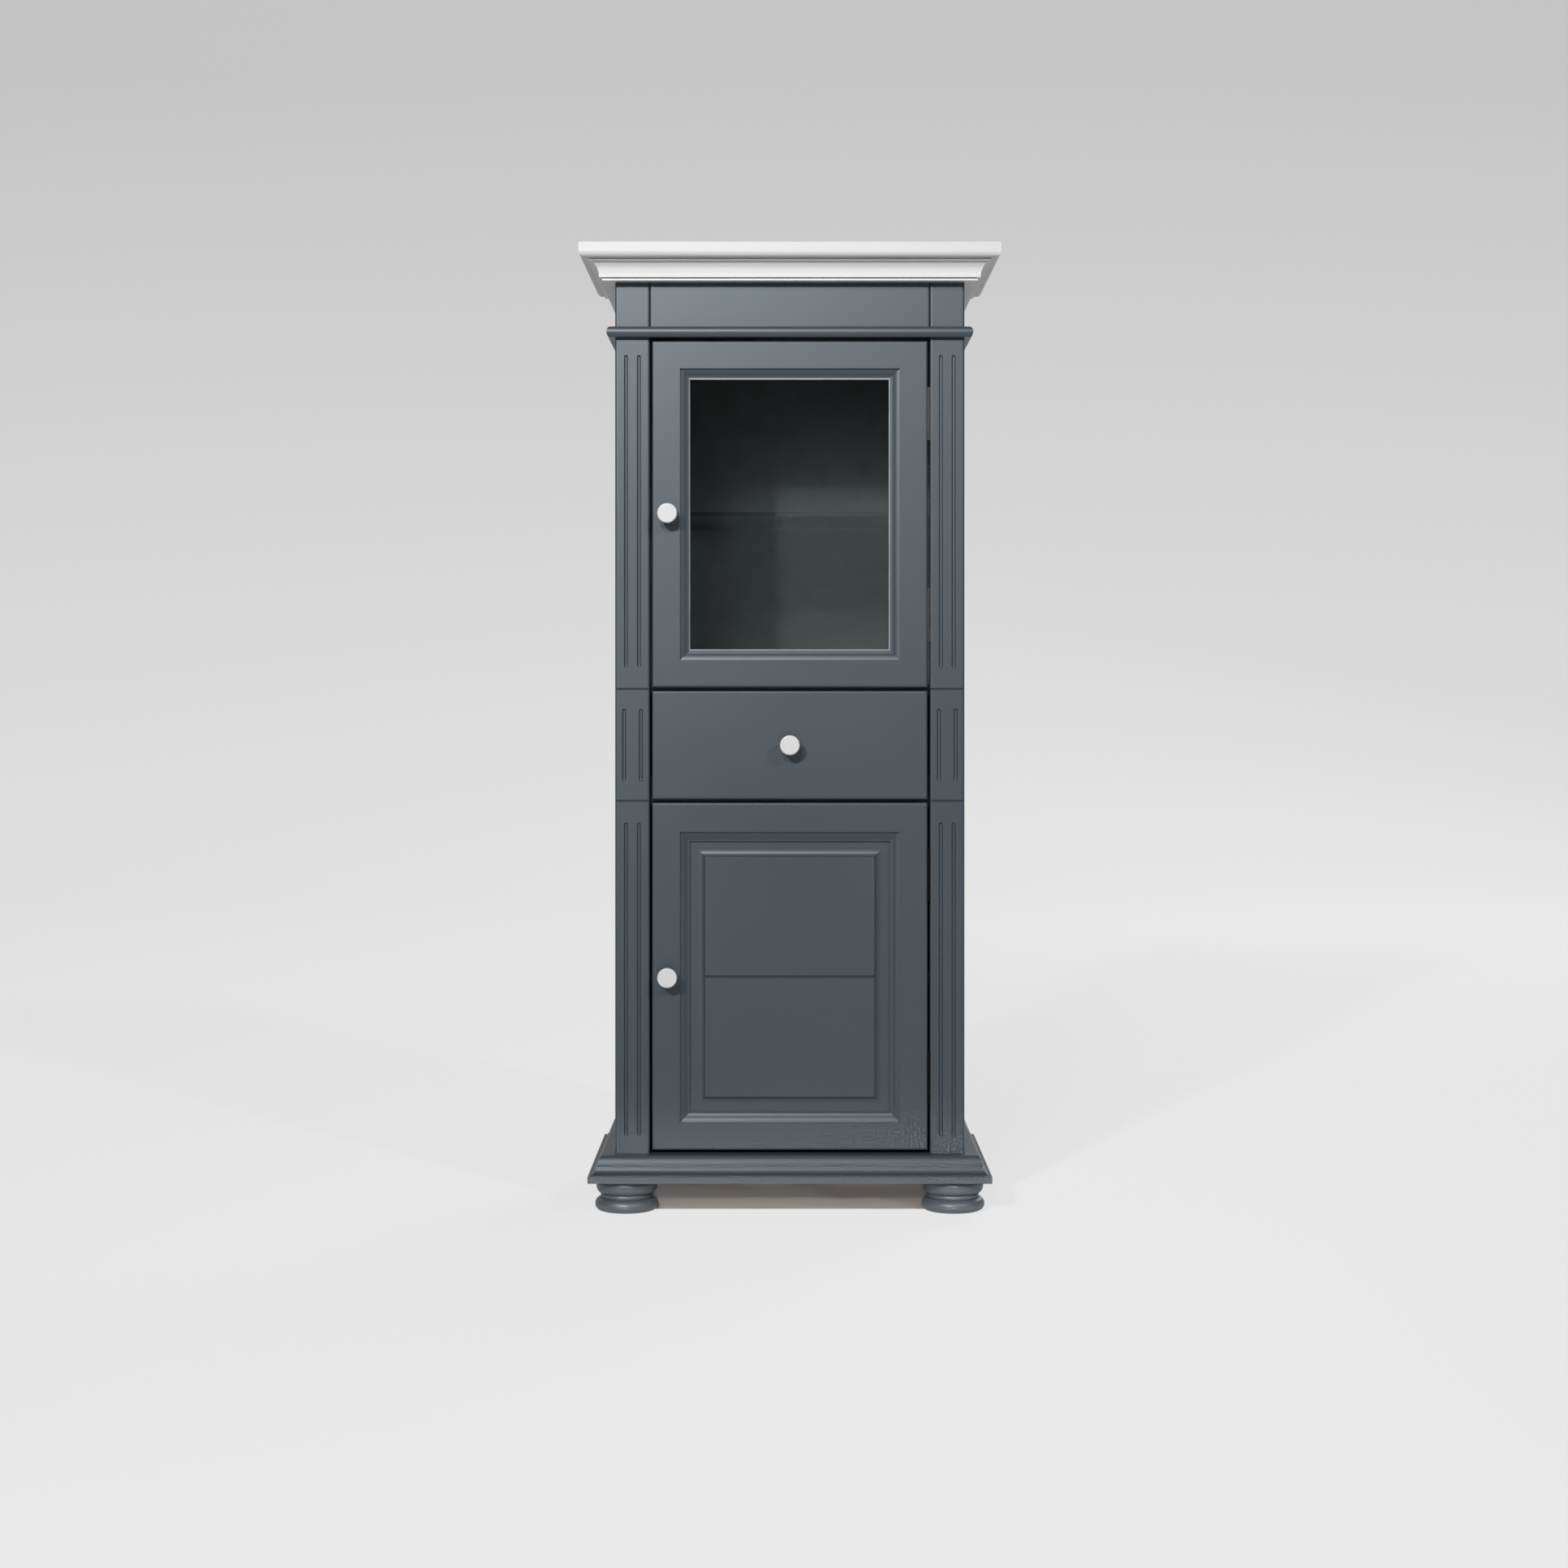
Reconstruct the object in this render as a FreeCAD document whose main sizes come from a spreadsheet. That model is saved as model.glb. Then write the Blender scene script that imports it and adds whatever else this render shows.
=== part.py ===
import FreeCAD, Part
import math
import os

import Sketcher
from FreeCAD import Rotation, Vector

# Display cabinet: a narrow painted cabinet with a glazed door above, one drawer in the middle and a
# panelled door below, between two fluted pilasters. Millimetres, +Z up, the front faces -Y, and the
# origin lies on the floor under the middle of the whole cabinet.

SIZES = {
    # Carcass
    "body_width": 528.0,
    "body_depth": 360.0,
    "body_height": 1376.0,
    "panel_board": 18.0,
    "back_board": 6.0,
    "back_lap": 9.0,
    "overrun": 1.0,
    # Pilasters
    "pilaster_width": 52.4,
    "pilaster_board": 22.0,
    "front_round": 3.2,
    "scribe_width": 3.4,
    "flute_width": 6.0,
    "flute_spacing": 19.4,
    "middle_flute_spacing": 25.2,
    "flute_scribe_margin": 32.5,
    "middle_flute_margin": 29.7,
    "flute_end_margin": 26.2,
    # Feet and kick board
    "foot_height": 48.0,
    "foot_radius": 47.8,
    "foot_sole_radius": 39.0,
    "foot_belly_height": 9.5,
    "foot_waist_radius": 39.5,
    "foot_waist_height": 19.5,
    "foot_collar_radius": 38.5,
    "foot_collar_height": 6.0,
    "foot_shoulder_radius": 46.0,
    "foot_shoulder_height": 37.0,
    "foot_rim_radius": 43.0,
    "foot_inset": 8.0,
    "stud_radius": 4.0,
    "stud_foot_depth": 28.0,
    "stud_body_depth": 24.0,
    "kick_board": 16.0,
    "kick_hold": 34.0,
    # Base board and plinth moulding
    "base_board": 10.0,
    "base_overhang": 39.0,
    "plinth_height": 29.0,
    "plinth_foot_out": 34.0,
    "plinth_foot_height": 1.4,
    "plinth_waist_out": 26.2,
    "plinth_waist_height": 14.0,
    "plinth_top_out": 19.4,
    # Crown moulding, top board, frieze and astragal
    "crown_height": 30.8,
    "crown_bead_out": 18.6,
    "crown_bead_height": 2.7,
    "crown_groove_out": 16.0,
    "crown_groove_height": 1.7,
    "crown_foot_out": 22.6,
    "crown_cove_out": 33.5,
    "crown_fillet_out": 38.0,
    "crown_fillet_height": 1.9,
    "crown_quirk_out": 36.6,
    "crown_quirk_height": 1.2,
    "top_board": 22.0,
    "top_overhang": 51.5,
    "top_round": 8.5,
    "frieze_height": 67.9,
    "astragal_height": 15.7,
    "astragal_out": 12.5,
    "astragal_crest": 4.4,
    "astragal_toe": 3.0,
    # Fronts
    "door_board": 20.0,
    "side_gap": 3.2,
    "front_gap": 4.8,
    "sill_gap": 4.6,
    "head_gap": 4.8,
    "lower_door_height": 525.5,
    "drawer_front_height": 164.3,
    "stile_width": 42.4,
    "rail_width": 41.6,
    "lower_top_rail_width": 44.4,
    "moulding_width": 14.3,
    "moulding_depth": 13.0,
    "moulding_quirk": 3.8,
    "moulding_ogee_width": 6.6,
    "moulding_ogee_depth": 6.1,
    "moulding_lip_width": 1.6,
    "moulding_lip_depth": 8.9,
    "glass_board": 4.0,
    "bead_width": 10.0,
    "panel_margin": 13.2,
    "bevel_width": 10.5,
    "field_raise": 4.5,
    "field_scribe_width": 4.2,
    # Knobs
    "knob_radius": 15.0,
    "knob_head": 9.0,
    "knob_round": 2.4,
    "knob_projection": 28.0,
    "knob_neck_radius": 6.5,
    "knob_foot_radius": 9.0,
    "knob_foot": 3.0,
    "knob_inset": 24.0,
    "bolt_radius": 2.0,
    "bolt_head_radius": 4.0,
    "bolt_head": 2.4,
    "bolt_knob_depth": 16.0,
    # Hinges and screws
    "hinge_length": 80.0,
    "hinge_inset": 110.0,
    "hinge_setback": 1.0,
    "leaf_board": 1.2,
    "leaf_width": 17.0,
    "knuckle_radius": 1.25,
    "knuckle_gap": 0.3,
    "pin_radius": 0.7,
    "pin_clearance": 0.05,
    "screw_radius": 1.5,
    "screw_head_radius": 2.8,
    "screw_head": 1.2,
    "screw_length": 14.0,
    "hinge_screw_spacing": 28.0,
    "back_screw_margin": 60.0,
    # Shelves
    "glass_shelf_board": 6.0,
    "glass_shelf_rise": 254.5,
    "lower_shelf_board": 16.0,
    "lower_shelf_rise": 255.0,
    "shelf_setback": 16.0,
    "shelf_clearance": 1.0,
    "shelf_pin_radius": 2.5,
    "shelf_pin_hold": 9.0,
    "shelf_pin_out": 9.0,
    "shelf_pin_inset": 50.0,
    # Drawer box, runners and door catches
    "drawer_side_board": 12.0,
    "drawer_side_height": 110.0,
    "drawer_length": 300.0,
    "drawer_bottom_board": 5.0,
    "drawer_bottom_rise": 8.0,
    "drawer_groove": 6.0,
    "drawer_side_inset": 8.0,
    "drawer_lift": 0.3,
    "runner_height": 30.0,
    "runner_clearance": 0.4,
    "catch_width": 40.0,
    "catch_depth": 16.0,
    "catch_height": 12.0,
    "catch_inset": 12.0,
    "catch_gap": 0.3,
    "strike_board": 1.2,
}

KNUCKLES = 5
BACK_SCREWS = 5
DIAMOND_SIDES = 4
QUARTER_SHARE = 1 / math.sqrt(2)
SOFT_SHARE = 0.85
CROWN_COVE_SHARE = 1.19
ASTRAGAL_TOE_SHARE = 1.4
ASTRAGAL_CREST_SHARE = 1.02
PLINTH_HOLLOW_SHARE = 0.95
PLINTH_ROUND_SHARE = 1.21
OGEE_SHARE = 3.0
BEVEL_SHARE = 1.27
LEFT, RIGHT = -1, 1
TOLERANCE_SHARE = 0.000001

ALONG = {
    "+X": Rotation(Vector(0, 1, 0), 90),
    "-X": Rotation(Vector(0, 1, 0), -90),
    "+Y": Rotation(Vector(1, 0, 0), -90),
    "-Y": Rotation(Vector(1, 0, 0), 90),
    "+Z": Rotation(),
}

DOC = FreeCAD.newDocument("DisplayCabinet")
NODES = []


class Size:
    """A length in millimetres with the sheet expression that gives it."""

    def __init__(self, value, text):
        self.value = value
        self.text = text

    def __add__(self, other):
        return Size(self.value + other.value, f"({self.text} + {other.text})")

    def __sub__(self, other):
        return Size(self.value - other.value, f"({self.text} - {other.text})")

    def __neg__(self):
        return Size(-self.value, f"(0 - {self.text})")

    def __mul__(self, factor):
        return Size(self.value * factor, f"({self.text} * {factor})")

    def __truediv__(self, divisor):
        return Size(self.value / divisor, f"({self.text} / {divisor})")


class Sheet:
    """The spreadsheet of driving sizes, read as attributes."""

    def __init__(self, sizes):
        self.sizes = sizes
        table = DOC.addObject("Spreadsheet::Sheet", "Sizes")
        for row, (alias, value) in enumerate(sizes.items(), start=1):
            table.set(f"A{row}", alias)
            table.set(f"B{row}", str(value))
            table.setAlias(f"B{row}", alias)
        DOC.recompute()

    def __getattr__(self, alias):
        return Size(self.sizes[alias], f"Sizes.{alias}")


S = Sheet(SIZES)
ZERO = Size(0.0, "0")

# Heights, from the floor up
BASE_Z = S.foot_height
BODY_Z = BASE_Z + S.base_board
PLINTH_Z = BODY_Z + S.plinth_height
TOP_Z = BODY_Z + S.body_height
CROWN_Z = TOP_Z - S.crown_height
ASTRAGAL_Z = CROWN_Z - S.frieze_height - S.astragal_height
LOWER_DOOR_Z = (PLINTH_Z + S.sill_gap, PLINTH_Z + S.sill_gap + S.lower_door_height)
DRAWER_Z = (LOWER_DOOR_Z[1] + S.front_gap, LOWER_DOOR_Z[1] + S.front_gap + S.drawer_front_height)
UPPER_DOOR_Z = (DRAWER_Z[1] + S.front_gap, ASTRAGAL_Z - S.head_gap)
LOWER_SCRIBE_Z = LOWER_DOOR_Z[1] + S.front_gap / 2
UPPER_SCRIBE_Z = DRAWER_Z[1] + S.front_gap / 2
LOWER_DIVIDER_Z = (LOWER_SCRIBE_Z - S.panel_board / 2, LOWER_SCRIBE_Z + S.panel_board / 2)
UPPER_DIVIDER_Z = (UPPER_SCRIBE_Z - S.panel_board / 2, UPPER_SCRIBE_Z + S.panel_board / 2)

# Planes from front to back
BACK_Y = (S.body_depth + S.top_overhang) / 2
FACE_Y = BACK_Y - S.body_depth
FRAME_Y = FACE_Y + S.pilaster_board
DOOR_BACK_Y = FACE_Y + S.door_board
BACK_PANEL_Y = BACK_Y - S.back_board

# Half widths
BODY_X = S.body_width / 2
INSIDE_X = BODY_X - S.panel_board
PILASTER_X = BODY_X - S.pilaster_width
DOOR_X = PILASTER_X - S.side_gap
DRAWER_X = PILASTER_X - S.drawer_side_inset

# Hinge axis, in the middle of the gap at the right of the doors
HINGE_X = PILASTER_X - S.side_gap / 2
HINGE_Y = FACE_Y + S.hinge_setback


def bind(thing, **sizes):
    """Tie properties of a document object to sizes."""
    for name, size in sizes.items():
        thing.setExpression(name, size.text)


def place(thing, x, y, z, rotation=None):
    """Put a document object at a point given in sizes."""
    if rotation:
        thing.Placement = FreeCAD.Placement(Vector(), rotation)
    for axis, size in zip("xyz", (x, y, z)):
        thing.setExpression(f".Placement.Base.{axis}", size.text)
    return thing


def node(label, thing):
    """Register a finished sub-part under its own name."""
    thing.Label = label
    NODES.append(thing)
    return thing


def board(x, y, z):
    """Plain board between two limits along each axis."""
    box = DOC.addObject("Part::Box", "board")
    bind(box, Length=x[1] - x[0], Width=y[1] - y[0], Height=z[1] - z[0])
    return place(box, x[0], y[0], z[0])


def rod(radius, length, at, along):
    """Round rod that starts at a point and runs along an axis."""
    cylinder = DOC.addObject("Part::Cylinder", "rod")
    bind(cylinder, Radius=radius, Height=length)
    return place(cylinder, *at, ALONG[along])


def ball(radius, at):
    """Ball about a point."""
    sphere = DOC.addObject("Part::Sphere", "ball")
    bind(sphere, Radius=radius)
    return place(sphere, *at)


def diamond(width, length, at):
    """Four-sided prism along +X that cuts a V groove of the given width."""
    prism = DOC.addObject("Part::Prism", "diamond")
    prism.Polygon = DIAMOND_SIDES
    bind(prism, Circumradius=width / 2, Height=length)
    return place(prism, *at, ALONG["+X"])


def fuse(*shapes):
    """One solid of touching shapes."""
    union = DOC.addObject("Part::MultiFuse", "union")
    union.Shapes = list(shapes)
    return union


def group(*shapes):
    """Separate solids kept side by side in one object."""
    compound = DOC.addObject("Part::Compound", "group")
    compound.Links = list(shapes)
    return compound


def cut(base, *tools):
    """What is left of a base after the tools are taken from it."""
    result = DOC.addObject("Part::Cut", "cut")
    result.Base = base
    result.Tool = tools[0] if len(tools) == 1 else fuse(*tools)
    return result


def sketch_on(body, role):
    """Empty sketch on one of the body's own origin planes."""
    sketch = body.newObject("Sketcher::SketchObject", "sketch")
    plane = next(item for item in body.Origin.OriginFeatures if item.Role == role)
    sketch.AttachmentSupport = [(plane, "")]
    sketch.MapMode = "FlatFace"
    return sketch


def add_arc(sketch, start, end, share, turn):
    """Arc whose radius is a share of its chord; its centre is left (1) or right (-1) of the way."""
    chord = end - start
    radius = share * chord.Length
    rise = math.sqrt(radius ** 2 - (chord.Length / 2) ** 2)
    left = Vector(-chord.y, chord.x, 0) / chord.Length
    centre = (start + end) / 2 + left * rise * turn
    angles = [math.atan2(point.y - centre.y, point.x - centre.x) for point in (start, end)]
    circle = Part.Circle(centre, Vector(0, 0, 1), radius)
    return sketch.addGeometry(Part.ArcOfCircle(circle, *angles[::turn]))


def draw(sketch, corners, arcs=None):
    """Closed outline through corners; arcs gives (share, turn) for the sides that are round."""
    arcs = arcs or {}
    points = [Vector(across.value, up.value, 0) for across, up in corners]
    sides = []
    for side, start in enumerate(points):
        end = points[(side + 1) % len(points)]
        if side in arcs:
            share, turn = arcs[side]
            index = add_arc(sketch, start, end, share, turn)
            sides.append((index, 1, 2) if turn > 0 else (index, 2, 1))
        else:
            sides.append((sketch.addGeometry(Part.LineSegment(start, end)), 1, 2))
    for side, (index, first, last) in enumerate(sides):
        following, opening, _ = sides[(side + 1) % len(sides)]
        sketch.addConstraint(Sketcher.Constraint("Coincident", index, last, following, opening))
    for (index, first, _), corner in zip(sides, corners):
        for kind, size in zip(("DistanceX", "DistanceY"), corner):
            constraint = Sketcher.Constraint(kind, -1, 1, index, first, size.value)
            sketch.setExpression(f"Constraints[{sketch.addConstraint(constraint)}]", size.text)
    for side, (share, _) in arcs.items():
        (across, up), (next_across, next_up) = corners[side], corners[(side + 1) % len(corners)]
        run = next_across - across
        rise = next_up - up
        chord = math.hypot(run.value, rise.value)
        constraint = Sketcher.Constraint("Radius", sides[side][0], share * chord)
        text = f"{share} * sqrt({run.text} * {run.text} + {rise.text} * {rise.text})"
        sketch.setExpression(f"Constraints[{sketch.addConstraint(constraint)}]", text)


def turned(corners, arcs=None):
    """Piece turned about its own Z axis from an outline of (radius, height) corners."""
    body = DOC.addObject("PartDesign::Body", "turned")
    outline = sketch_on(body, "XZ_Plane")
    draw(outline, corners, arcs)
    revolution = body.newObject("PartDesign::Revolution", "turning")
    revolution.Profile = outline
    revolution.ReferenceAxis = (outline, ["V_Axis"])
    return body


def rounded_board(x, y, z, radius, edges):
    """Board whose named edges, each shared by two named faces, are rounded."""
    body = DOC.addObject("PartDesign::Body", "rounded_board")
    outline = sketch_on(body, "XZ_Plane")
    bind(outline, **{".AttachmentOffset.Base.z": -y[1]})
    draw(outline, [(x[0], z[0]), (x[1], z[0]), (x[1], z[1]), (x[0], z[1])])
    pad = body.newObject("PartDesign::Pad", "thickness")
    pad.Profile = outline
    bind(pad, Length=y[1] - y[0])
    DOC.recompute()
    faces = {"left": ("x", x[0]), "right": ("x", x[1]), "front": ("y", y[0]),
             "back": ("y", y[1]), "bottom": ("z", z[0]), "top": ("z", z[1])}
    near = TOLERANCE_SHARE * pad.Shape.BoundBox.DiagonalLength
    names = []
    for number, edge in enumerate(pad.Shape.Edges, start=1):
        middle = edge.CenterOfMass
        for pair in edges:
            axes = [faces[name] for name in pair]
            if all(abs(getattr(middle, axis) - limit.value) < near for axis, limit in axes):
                names.append(f"Edge{number}")
    fillet = body.newObject("PartDesign::Fillet", "rounding")
    fillet.Base = (pad, names)
    bind(fillet, Radius=radius)
    return body


def strip(length, reach, corners, arcs, mitred):
    """Straight moulding along its own X axis, its section of (out, up) corners facing -Y.

    length is measured where the section starts; reach is how far the section goes out. A mitred end
    grows with the distance out, and any other end is square.
    """
    body = DOC.addObject("PartDesign::Body", "strip")
    section = sketch_on(body, "YZ_Plane")
    draw(section, [(-out, up) for out, up in corners],
         {side: (share, -turn) for side, (share, turn) in arcs.items()})
    pad = body.newObject("PartDesign::Pad", "run")
    pad.Profile = section
    pad.SideType = "Symmetric"
    bind(pad, Length=length + reach * 2)
    ends = sketch_on(body, "XY_Plane")
    far_out = reach + S.overrun
    for end in (LEFT, RIGHT):
        tip = (length / 2 + far_out) * end
        heel = (length / 2 - S.overrun) * end
        square = length / 2 * end
        if end in mitred:
            draw(ends, [(heel, S.overrun), (tip, -far_out), (tip, S.overrun)])
        else:
            draw(ends, [(square, S.overrun), (square, -far_out), (tip, -far_out), (tip, S.overrun)])
    DOC.recompute()
    whole = pad.Shape.Volume
    pocket = body.newObject("PartDesign::Pocket", "ends")
    pocket.Profile = ends
    pocket.SideType = "Symmetric"
    pocket.Type = "ThroughAll"
    DOC.recompute()
    if not body.Shape.Volume < whole:
        raise RuntimeError("the ends of a strip were not cut")
    return body


def band(name, height, reach, corners, arcs):
    """Moulding round the front and both sides of the body: a front length and two returns."""
    front = strip(S.body_width, reach, corners, arcs, (LEFT, RIGHT))
    node(f"{name}_front", place(front, ZERO, FACE_Y, height))
    returns = []
    middle_y = (FACE_Y + BACK_Y) / 2
    for side in (LEFT, RIGHT):
        piece = strip(S.body_depth, reach, corners, arcs, (-side,))
        turn = Rotation(Vector(0, 0, 1), 90 * side)
        returns.append(place(piece, BODY_X * side, middle_y, height, turn))
    node(f"{name}_returns", group(*returns))


def span(side, inner, outer):
    """X limits, in rising order, of something between two distances on one side of the middle."""
    return (inner, outer) if side == RIGHT else (-outer, -inner)


def both_ways(half):
    """Limits that lie evenly about the middle."""
    return (-half, half)


def screw(at, along):
    """Countersunk screw with its head flush at a point."""
    head = DOC.addObject("Part::Cone", "screw_head")
    bind(head, Radius1=S.screw_head_radius, Radius2=S.screw_radius, Height=S.screw_head)
    place(head, *at, ALONG[along])
    return fuse(head, rod(S.screw_radius, S.screw_length, at, along))


def hinge_centres(door_z):
    """Heights of the middles of a door's two hinges."""
    return (door_z[0] + S.hinge_inset, door_z[1] - S.hinge_inset)


def leaf_screw_points(side, centre):
    """Middles of the screw heads on one leaf of a hinge."""
    x = HINGE_X + S.side_gap / 2 * side
    y = HINGE_Y + S.knuckle_radius + (S.leaf_width - S.knuckle_radius) / 2
    return [(x, y, centre + S.hinge_screw_spacing * step) for step in (-1, 0, 1)]


def leaf_screws(side, centre):
    """Screws of one leaf: side RIGHT holds it to the pilaster, LEFT to the door."""
    along = "+X" if side == RIGHT else "-X"
    return [screw(point, along) for point in leaf_screw_points(side, centre)]


def leaf_plate(side, centre):
    """Flat part of one hinge leaf, let into the wood beside the gap."""
    inner = S.side_gap / 2
    x = span(side, inner, inner + S.leaf_board)
    y = (HINGE_Y + S.knuckle_radius - S.leaf_board, HINGE_Y + S.leaf_width)
    z = (centre - S.hinge_length / 2, centre + S.hinge_length / 2)
    return board((HINGE_X + x[0], HINGE_X + x[1]), y, z)


def hinge_leaf(side, centre):
    """Hinge leaf with its knuckles: the frame's leaf has the odd ones, the door's the even ones."""
    fixed = side == RIGHT
    pitch = S.hinge_length / KNUCKLES
    low = centre - S.hinge_length / 2
    slack = ZERO if fixed else S.knuckle_gap
    bore = S.pin_radius if fixed else S.pin_radius + S.pin_clearance
    web_x = span(side, ZERO, S.side_gap / 2 + S.leaf_board)
    web_y = (HINGE_Y + S.knuckle_radius - S.leaf_board, HINGE_Y + S.knuckle_radius)
    pieces = [leaf_plate(side, centre)]
    for number in range(0 if fixed else 1, KNUCKLES, 2):
        z = (low + pitch * number + slack, low + pitch * (number + 1) - slack)
        pieces.append(rod(S.knuckle_radius, z[1] - z[0], (HINGE_X, HINGE_Y, z[0]), "+Z"))
        pieces.append(board((HINGE_X + web_x[0], HINGE_X + web_x[1]), web_y, z))
    hole = rod(bore, S.hinge_length + S.overrun * 2, (HINGE_X, HINGE_Y, low - S.overrun), "+Z")
    return cut(fuse(*pieces), hole, *leaf_screws(side, centre))


def hinge_pin(centre):
    """Pin through all the knuckles of one hinge."""
    return rod(S.pin_radius, S.hinge_length, (HINGE_X, HINGE_Y, centre - S.hinge_length / 2), "+Z")


def knob():
    """Knob with a flat round head, turned about its own axis."""
    shoulder = S.knob_projection - S.knob_head
    bore_top = S.bolt_knob_depth
    corners = [
        (S.bolt_radius, ZERO),
        (S.knob_foot_radius, ZERO),
        (S.knob_foot_radius, S.knob_foot),
        (S.knob_neck_radius, S.knob_foot * 2),
        (S.knob_neck_radius, shoulder - S.knob_round),
        (S.knob_radius - S.knob_round, shoulder),
        (S.knob_radius, shoulder + S.knob_round),
        (S.knob_radius, S.knob_projection - S.knob_round),
        (S.knob_radius - S.knob_round, S.knob_projection),
        (ZERO, S.knob_projection),
        (ZERO, bore_top),
        (S.bolt_radius, bore_top),
    ]
    arcs = {2: (SOFT_SHARE, -1), 4: (SOFT_SHARE, -1), 5: (QUARTER_SHARE, 1), 7: (QUARTER_SHARE, 1)}
    return turned(corners, arcs)


def knob_bolt(x, z):
    """Bolt from the back of a front into its knob."""
    head = rod(S.bolt_head_radius, S.bolt_head, (x, DOOR_BACK_Y, z), "+Y")
    shank = rod(S.bolt_radius, S.door_board + S.bolt_knob_depth, (x, DOOR_BACK_Y, z), "-Y")
    return fuse(head, shank)


def bolt_hole(x, z):
    """Hole for a knob's bolt through a front."""
    start = (x, FACE_Y - S.overrun, z)
    return rod(S.bolt_radius, S.door_board + S.overrun * 2, start, "+Y")


def foot(x, y):
    """Bun foot: a swelling belly, a collar and a shoulder under the base board."""
    waist = S.foot_waist_height
    collar = waist + S.foot_collar_height
    bore = S.foot_height - S.stud_foot_depth
    corners = [
        (ZERO, ZERO),
        (S.foot_sole_radius, ZERO),
        (S.foot_radius, S.foot_belly_height),
        (S.foot_waist_radius, waist),
        (S.foot_collar_radius, waist),
        (S.foot_collar_radius, collar),
        (S.foot_shoulder_radius, S.foot_shoulder_height),
        (S.foot_rim_radius, S.foot_height),
        (S.stud_radius, S.foot_height),
        (S.stud_radius, bore),
        (ZERO, bore),
    ]
    arcs = {1: (QUARTER_SHARE, 1), 2: (QUARTER_SHARE, 1), 4: (SOFT_SHARE, 1),
            5: (SOFT_SHARE, 1), 6: (SOFT_SHARE, 1)}
    return place(turned(corners, arcs), x, y, ZERO)


def foot_places(side):
    """X and Y of the front foot and the back foot on one side."""
    x = (BODY_X + S.base_overhang - S.foot_inset - S.foot_radius) * side
    front = FACE_Y - S.base_overhang + S.foot_inset + S.foot_radius
    back = BACK_Y - S.foot_inset - S.foot_radius
    return [(x, front), (x, back)]


def studs(side):
    """Threaded studs from the feet of one side up into the carcass."""
    low = S.foot_height - S.stud_foot_depth
    high = BODY_Z + S.stud_body_depth
    return [rod(S.stud_radius, high - low, (x, y, low), "+Z") for x, y in foot_places(side)]


def base():
    """Feet with their studs, base board, plinth moulding, base rail and kick board."""
    for name, side in (("left", LEFT), ("right", RIGHT)):
        for end, (x, y) in zip(("front", "back"), foot_places(side)):
            node(f"foot_{end}_{name}", foot(x, y))
    node("foot_studs", group(*studs(LEFT), *studs(RIGHT)))
    slab = board(both_ways(BODY_X + S.base_overhang), (FACE_Y - S.base_overhang, BACK_Y),
                 (BASE_Z, BODY_Z))
    node("base_board", cut(slab, *studs(LEFT), *studs(RIGHT)))
    corners = [
        (ZERO, ZERO),
        (S.plinth_foot_out, ZERO),
        (S.plinth_foot_out, S.plinth_foot_height),
        (S.plinth_waist_out, S.plinth_waist_height),
        (S.plinth_top_out, S.plinth_height),
        (ZERO, S.plinth_height),
    ]
    arcs = {2: (PLINTH_HOLLOW_SHARE, -1), 3: (PLINTH_ROUND_SHARE, 1)}
    band("plinth", BODY_Z, S.plinth_foot_out, corners, arcs)
    node("base_rail", board(both_ways(PILASTER_X), (FACE_Y, FRAME_Y), (BODY_Z, PLINTH_Z)))
    foot_x, foot_y = foot_places(RIGHT)[0]
    kick_y = (foot_y, foot_y + S.kick_board)
    kick = board(both_ways(foot_x - S.kick_hold), kick_y, (ZERO, BASE_Z))
    node("kick_board", cut(kick, foot(-foot_x, foot_y), foot(foot_x, foot_y)))


def head():
    """Astragal, crown moulding and top board."""
    corners = [
        (ZERO, ZERO),
        (S.astragal_out - S.astragal_toe, ZERO),
        (S.astragal_out, S.astragal_height / 2),
        (S.astragal_out - S.astragal_crest, S.astragal_height),
        (ZERO, S.astragal_height),
    ]
    arcs = {1: (ASTRAGAL_TOE_SHARE, 1), 2: (ASTRAGAL_CREST_SHARE, 1)}
    band("astragal", ASTRAGAL_Z, S.astragal_out, corners, arcs)
    groove_z = S.crown_bead_height + S.crown_groove_height
    quirk_z = S.crown_height - S.crown_quirk_height
    fillet_z = quirk_z - S.crown_fillet_height
    corners = [
        (ZERO, ZERO),
        (S.crown_bead_out, ZERO),
        (S.crown_bead_out, S.crown_bead_height),
        (S.crown_groove_out, S.crown_bead_height),
        (S.crown_groove_out, groove_z),
        (S.crown_foot_out, groove_z),
        (S.crown_cove_out, fillet_z),
        (S.crown_fillet_out, fillet_z),
        (S.crown_fillet_out, quirk_z),
        (S.crown_quirk_out, quirk_z),
        (S.crown_quirk_out, S.crown_height),
        (ZERO, S.crown_height),
    ]
    arcs = {5: (CROWN_COVE_SHARE, -1)}
    band("crown", CROWN_Z, S.crown_fillet_out, corners, arcs)
    under = [("bottom", "front"), ("bottom", "left"), ("bottom", "right")]
    node("top_board", rounded_board(
        both_ways(BODY_X + S.top_overhang), (FACE_Y - S.top_overhang, BACK_Y),
        (TOP_Z, TOP_Z + S.top_board), S.top_round, under))


def flute(x, z):
    """Round-ended cutter of one flute, half sunk into the pilaster's face."""
    radius = S.flute_width / 2
    ends = (z[0] + radius, z[1] - radius)
    shaft = rod(radius, ends[1] - ends[0], (x, FACE_Y, ends[0]), "+Z")
    return fuse(shaft, *[ball(radius, (x, FACE_Y, end)) for end in ends])


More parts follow.
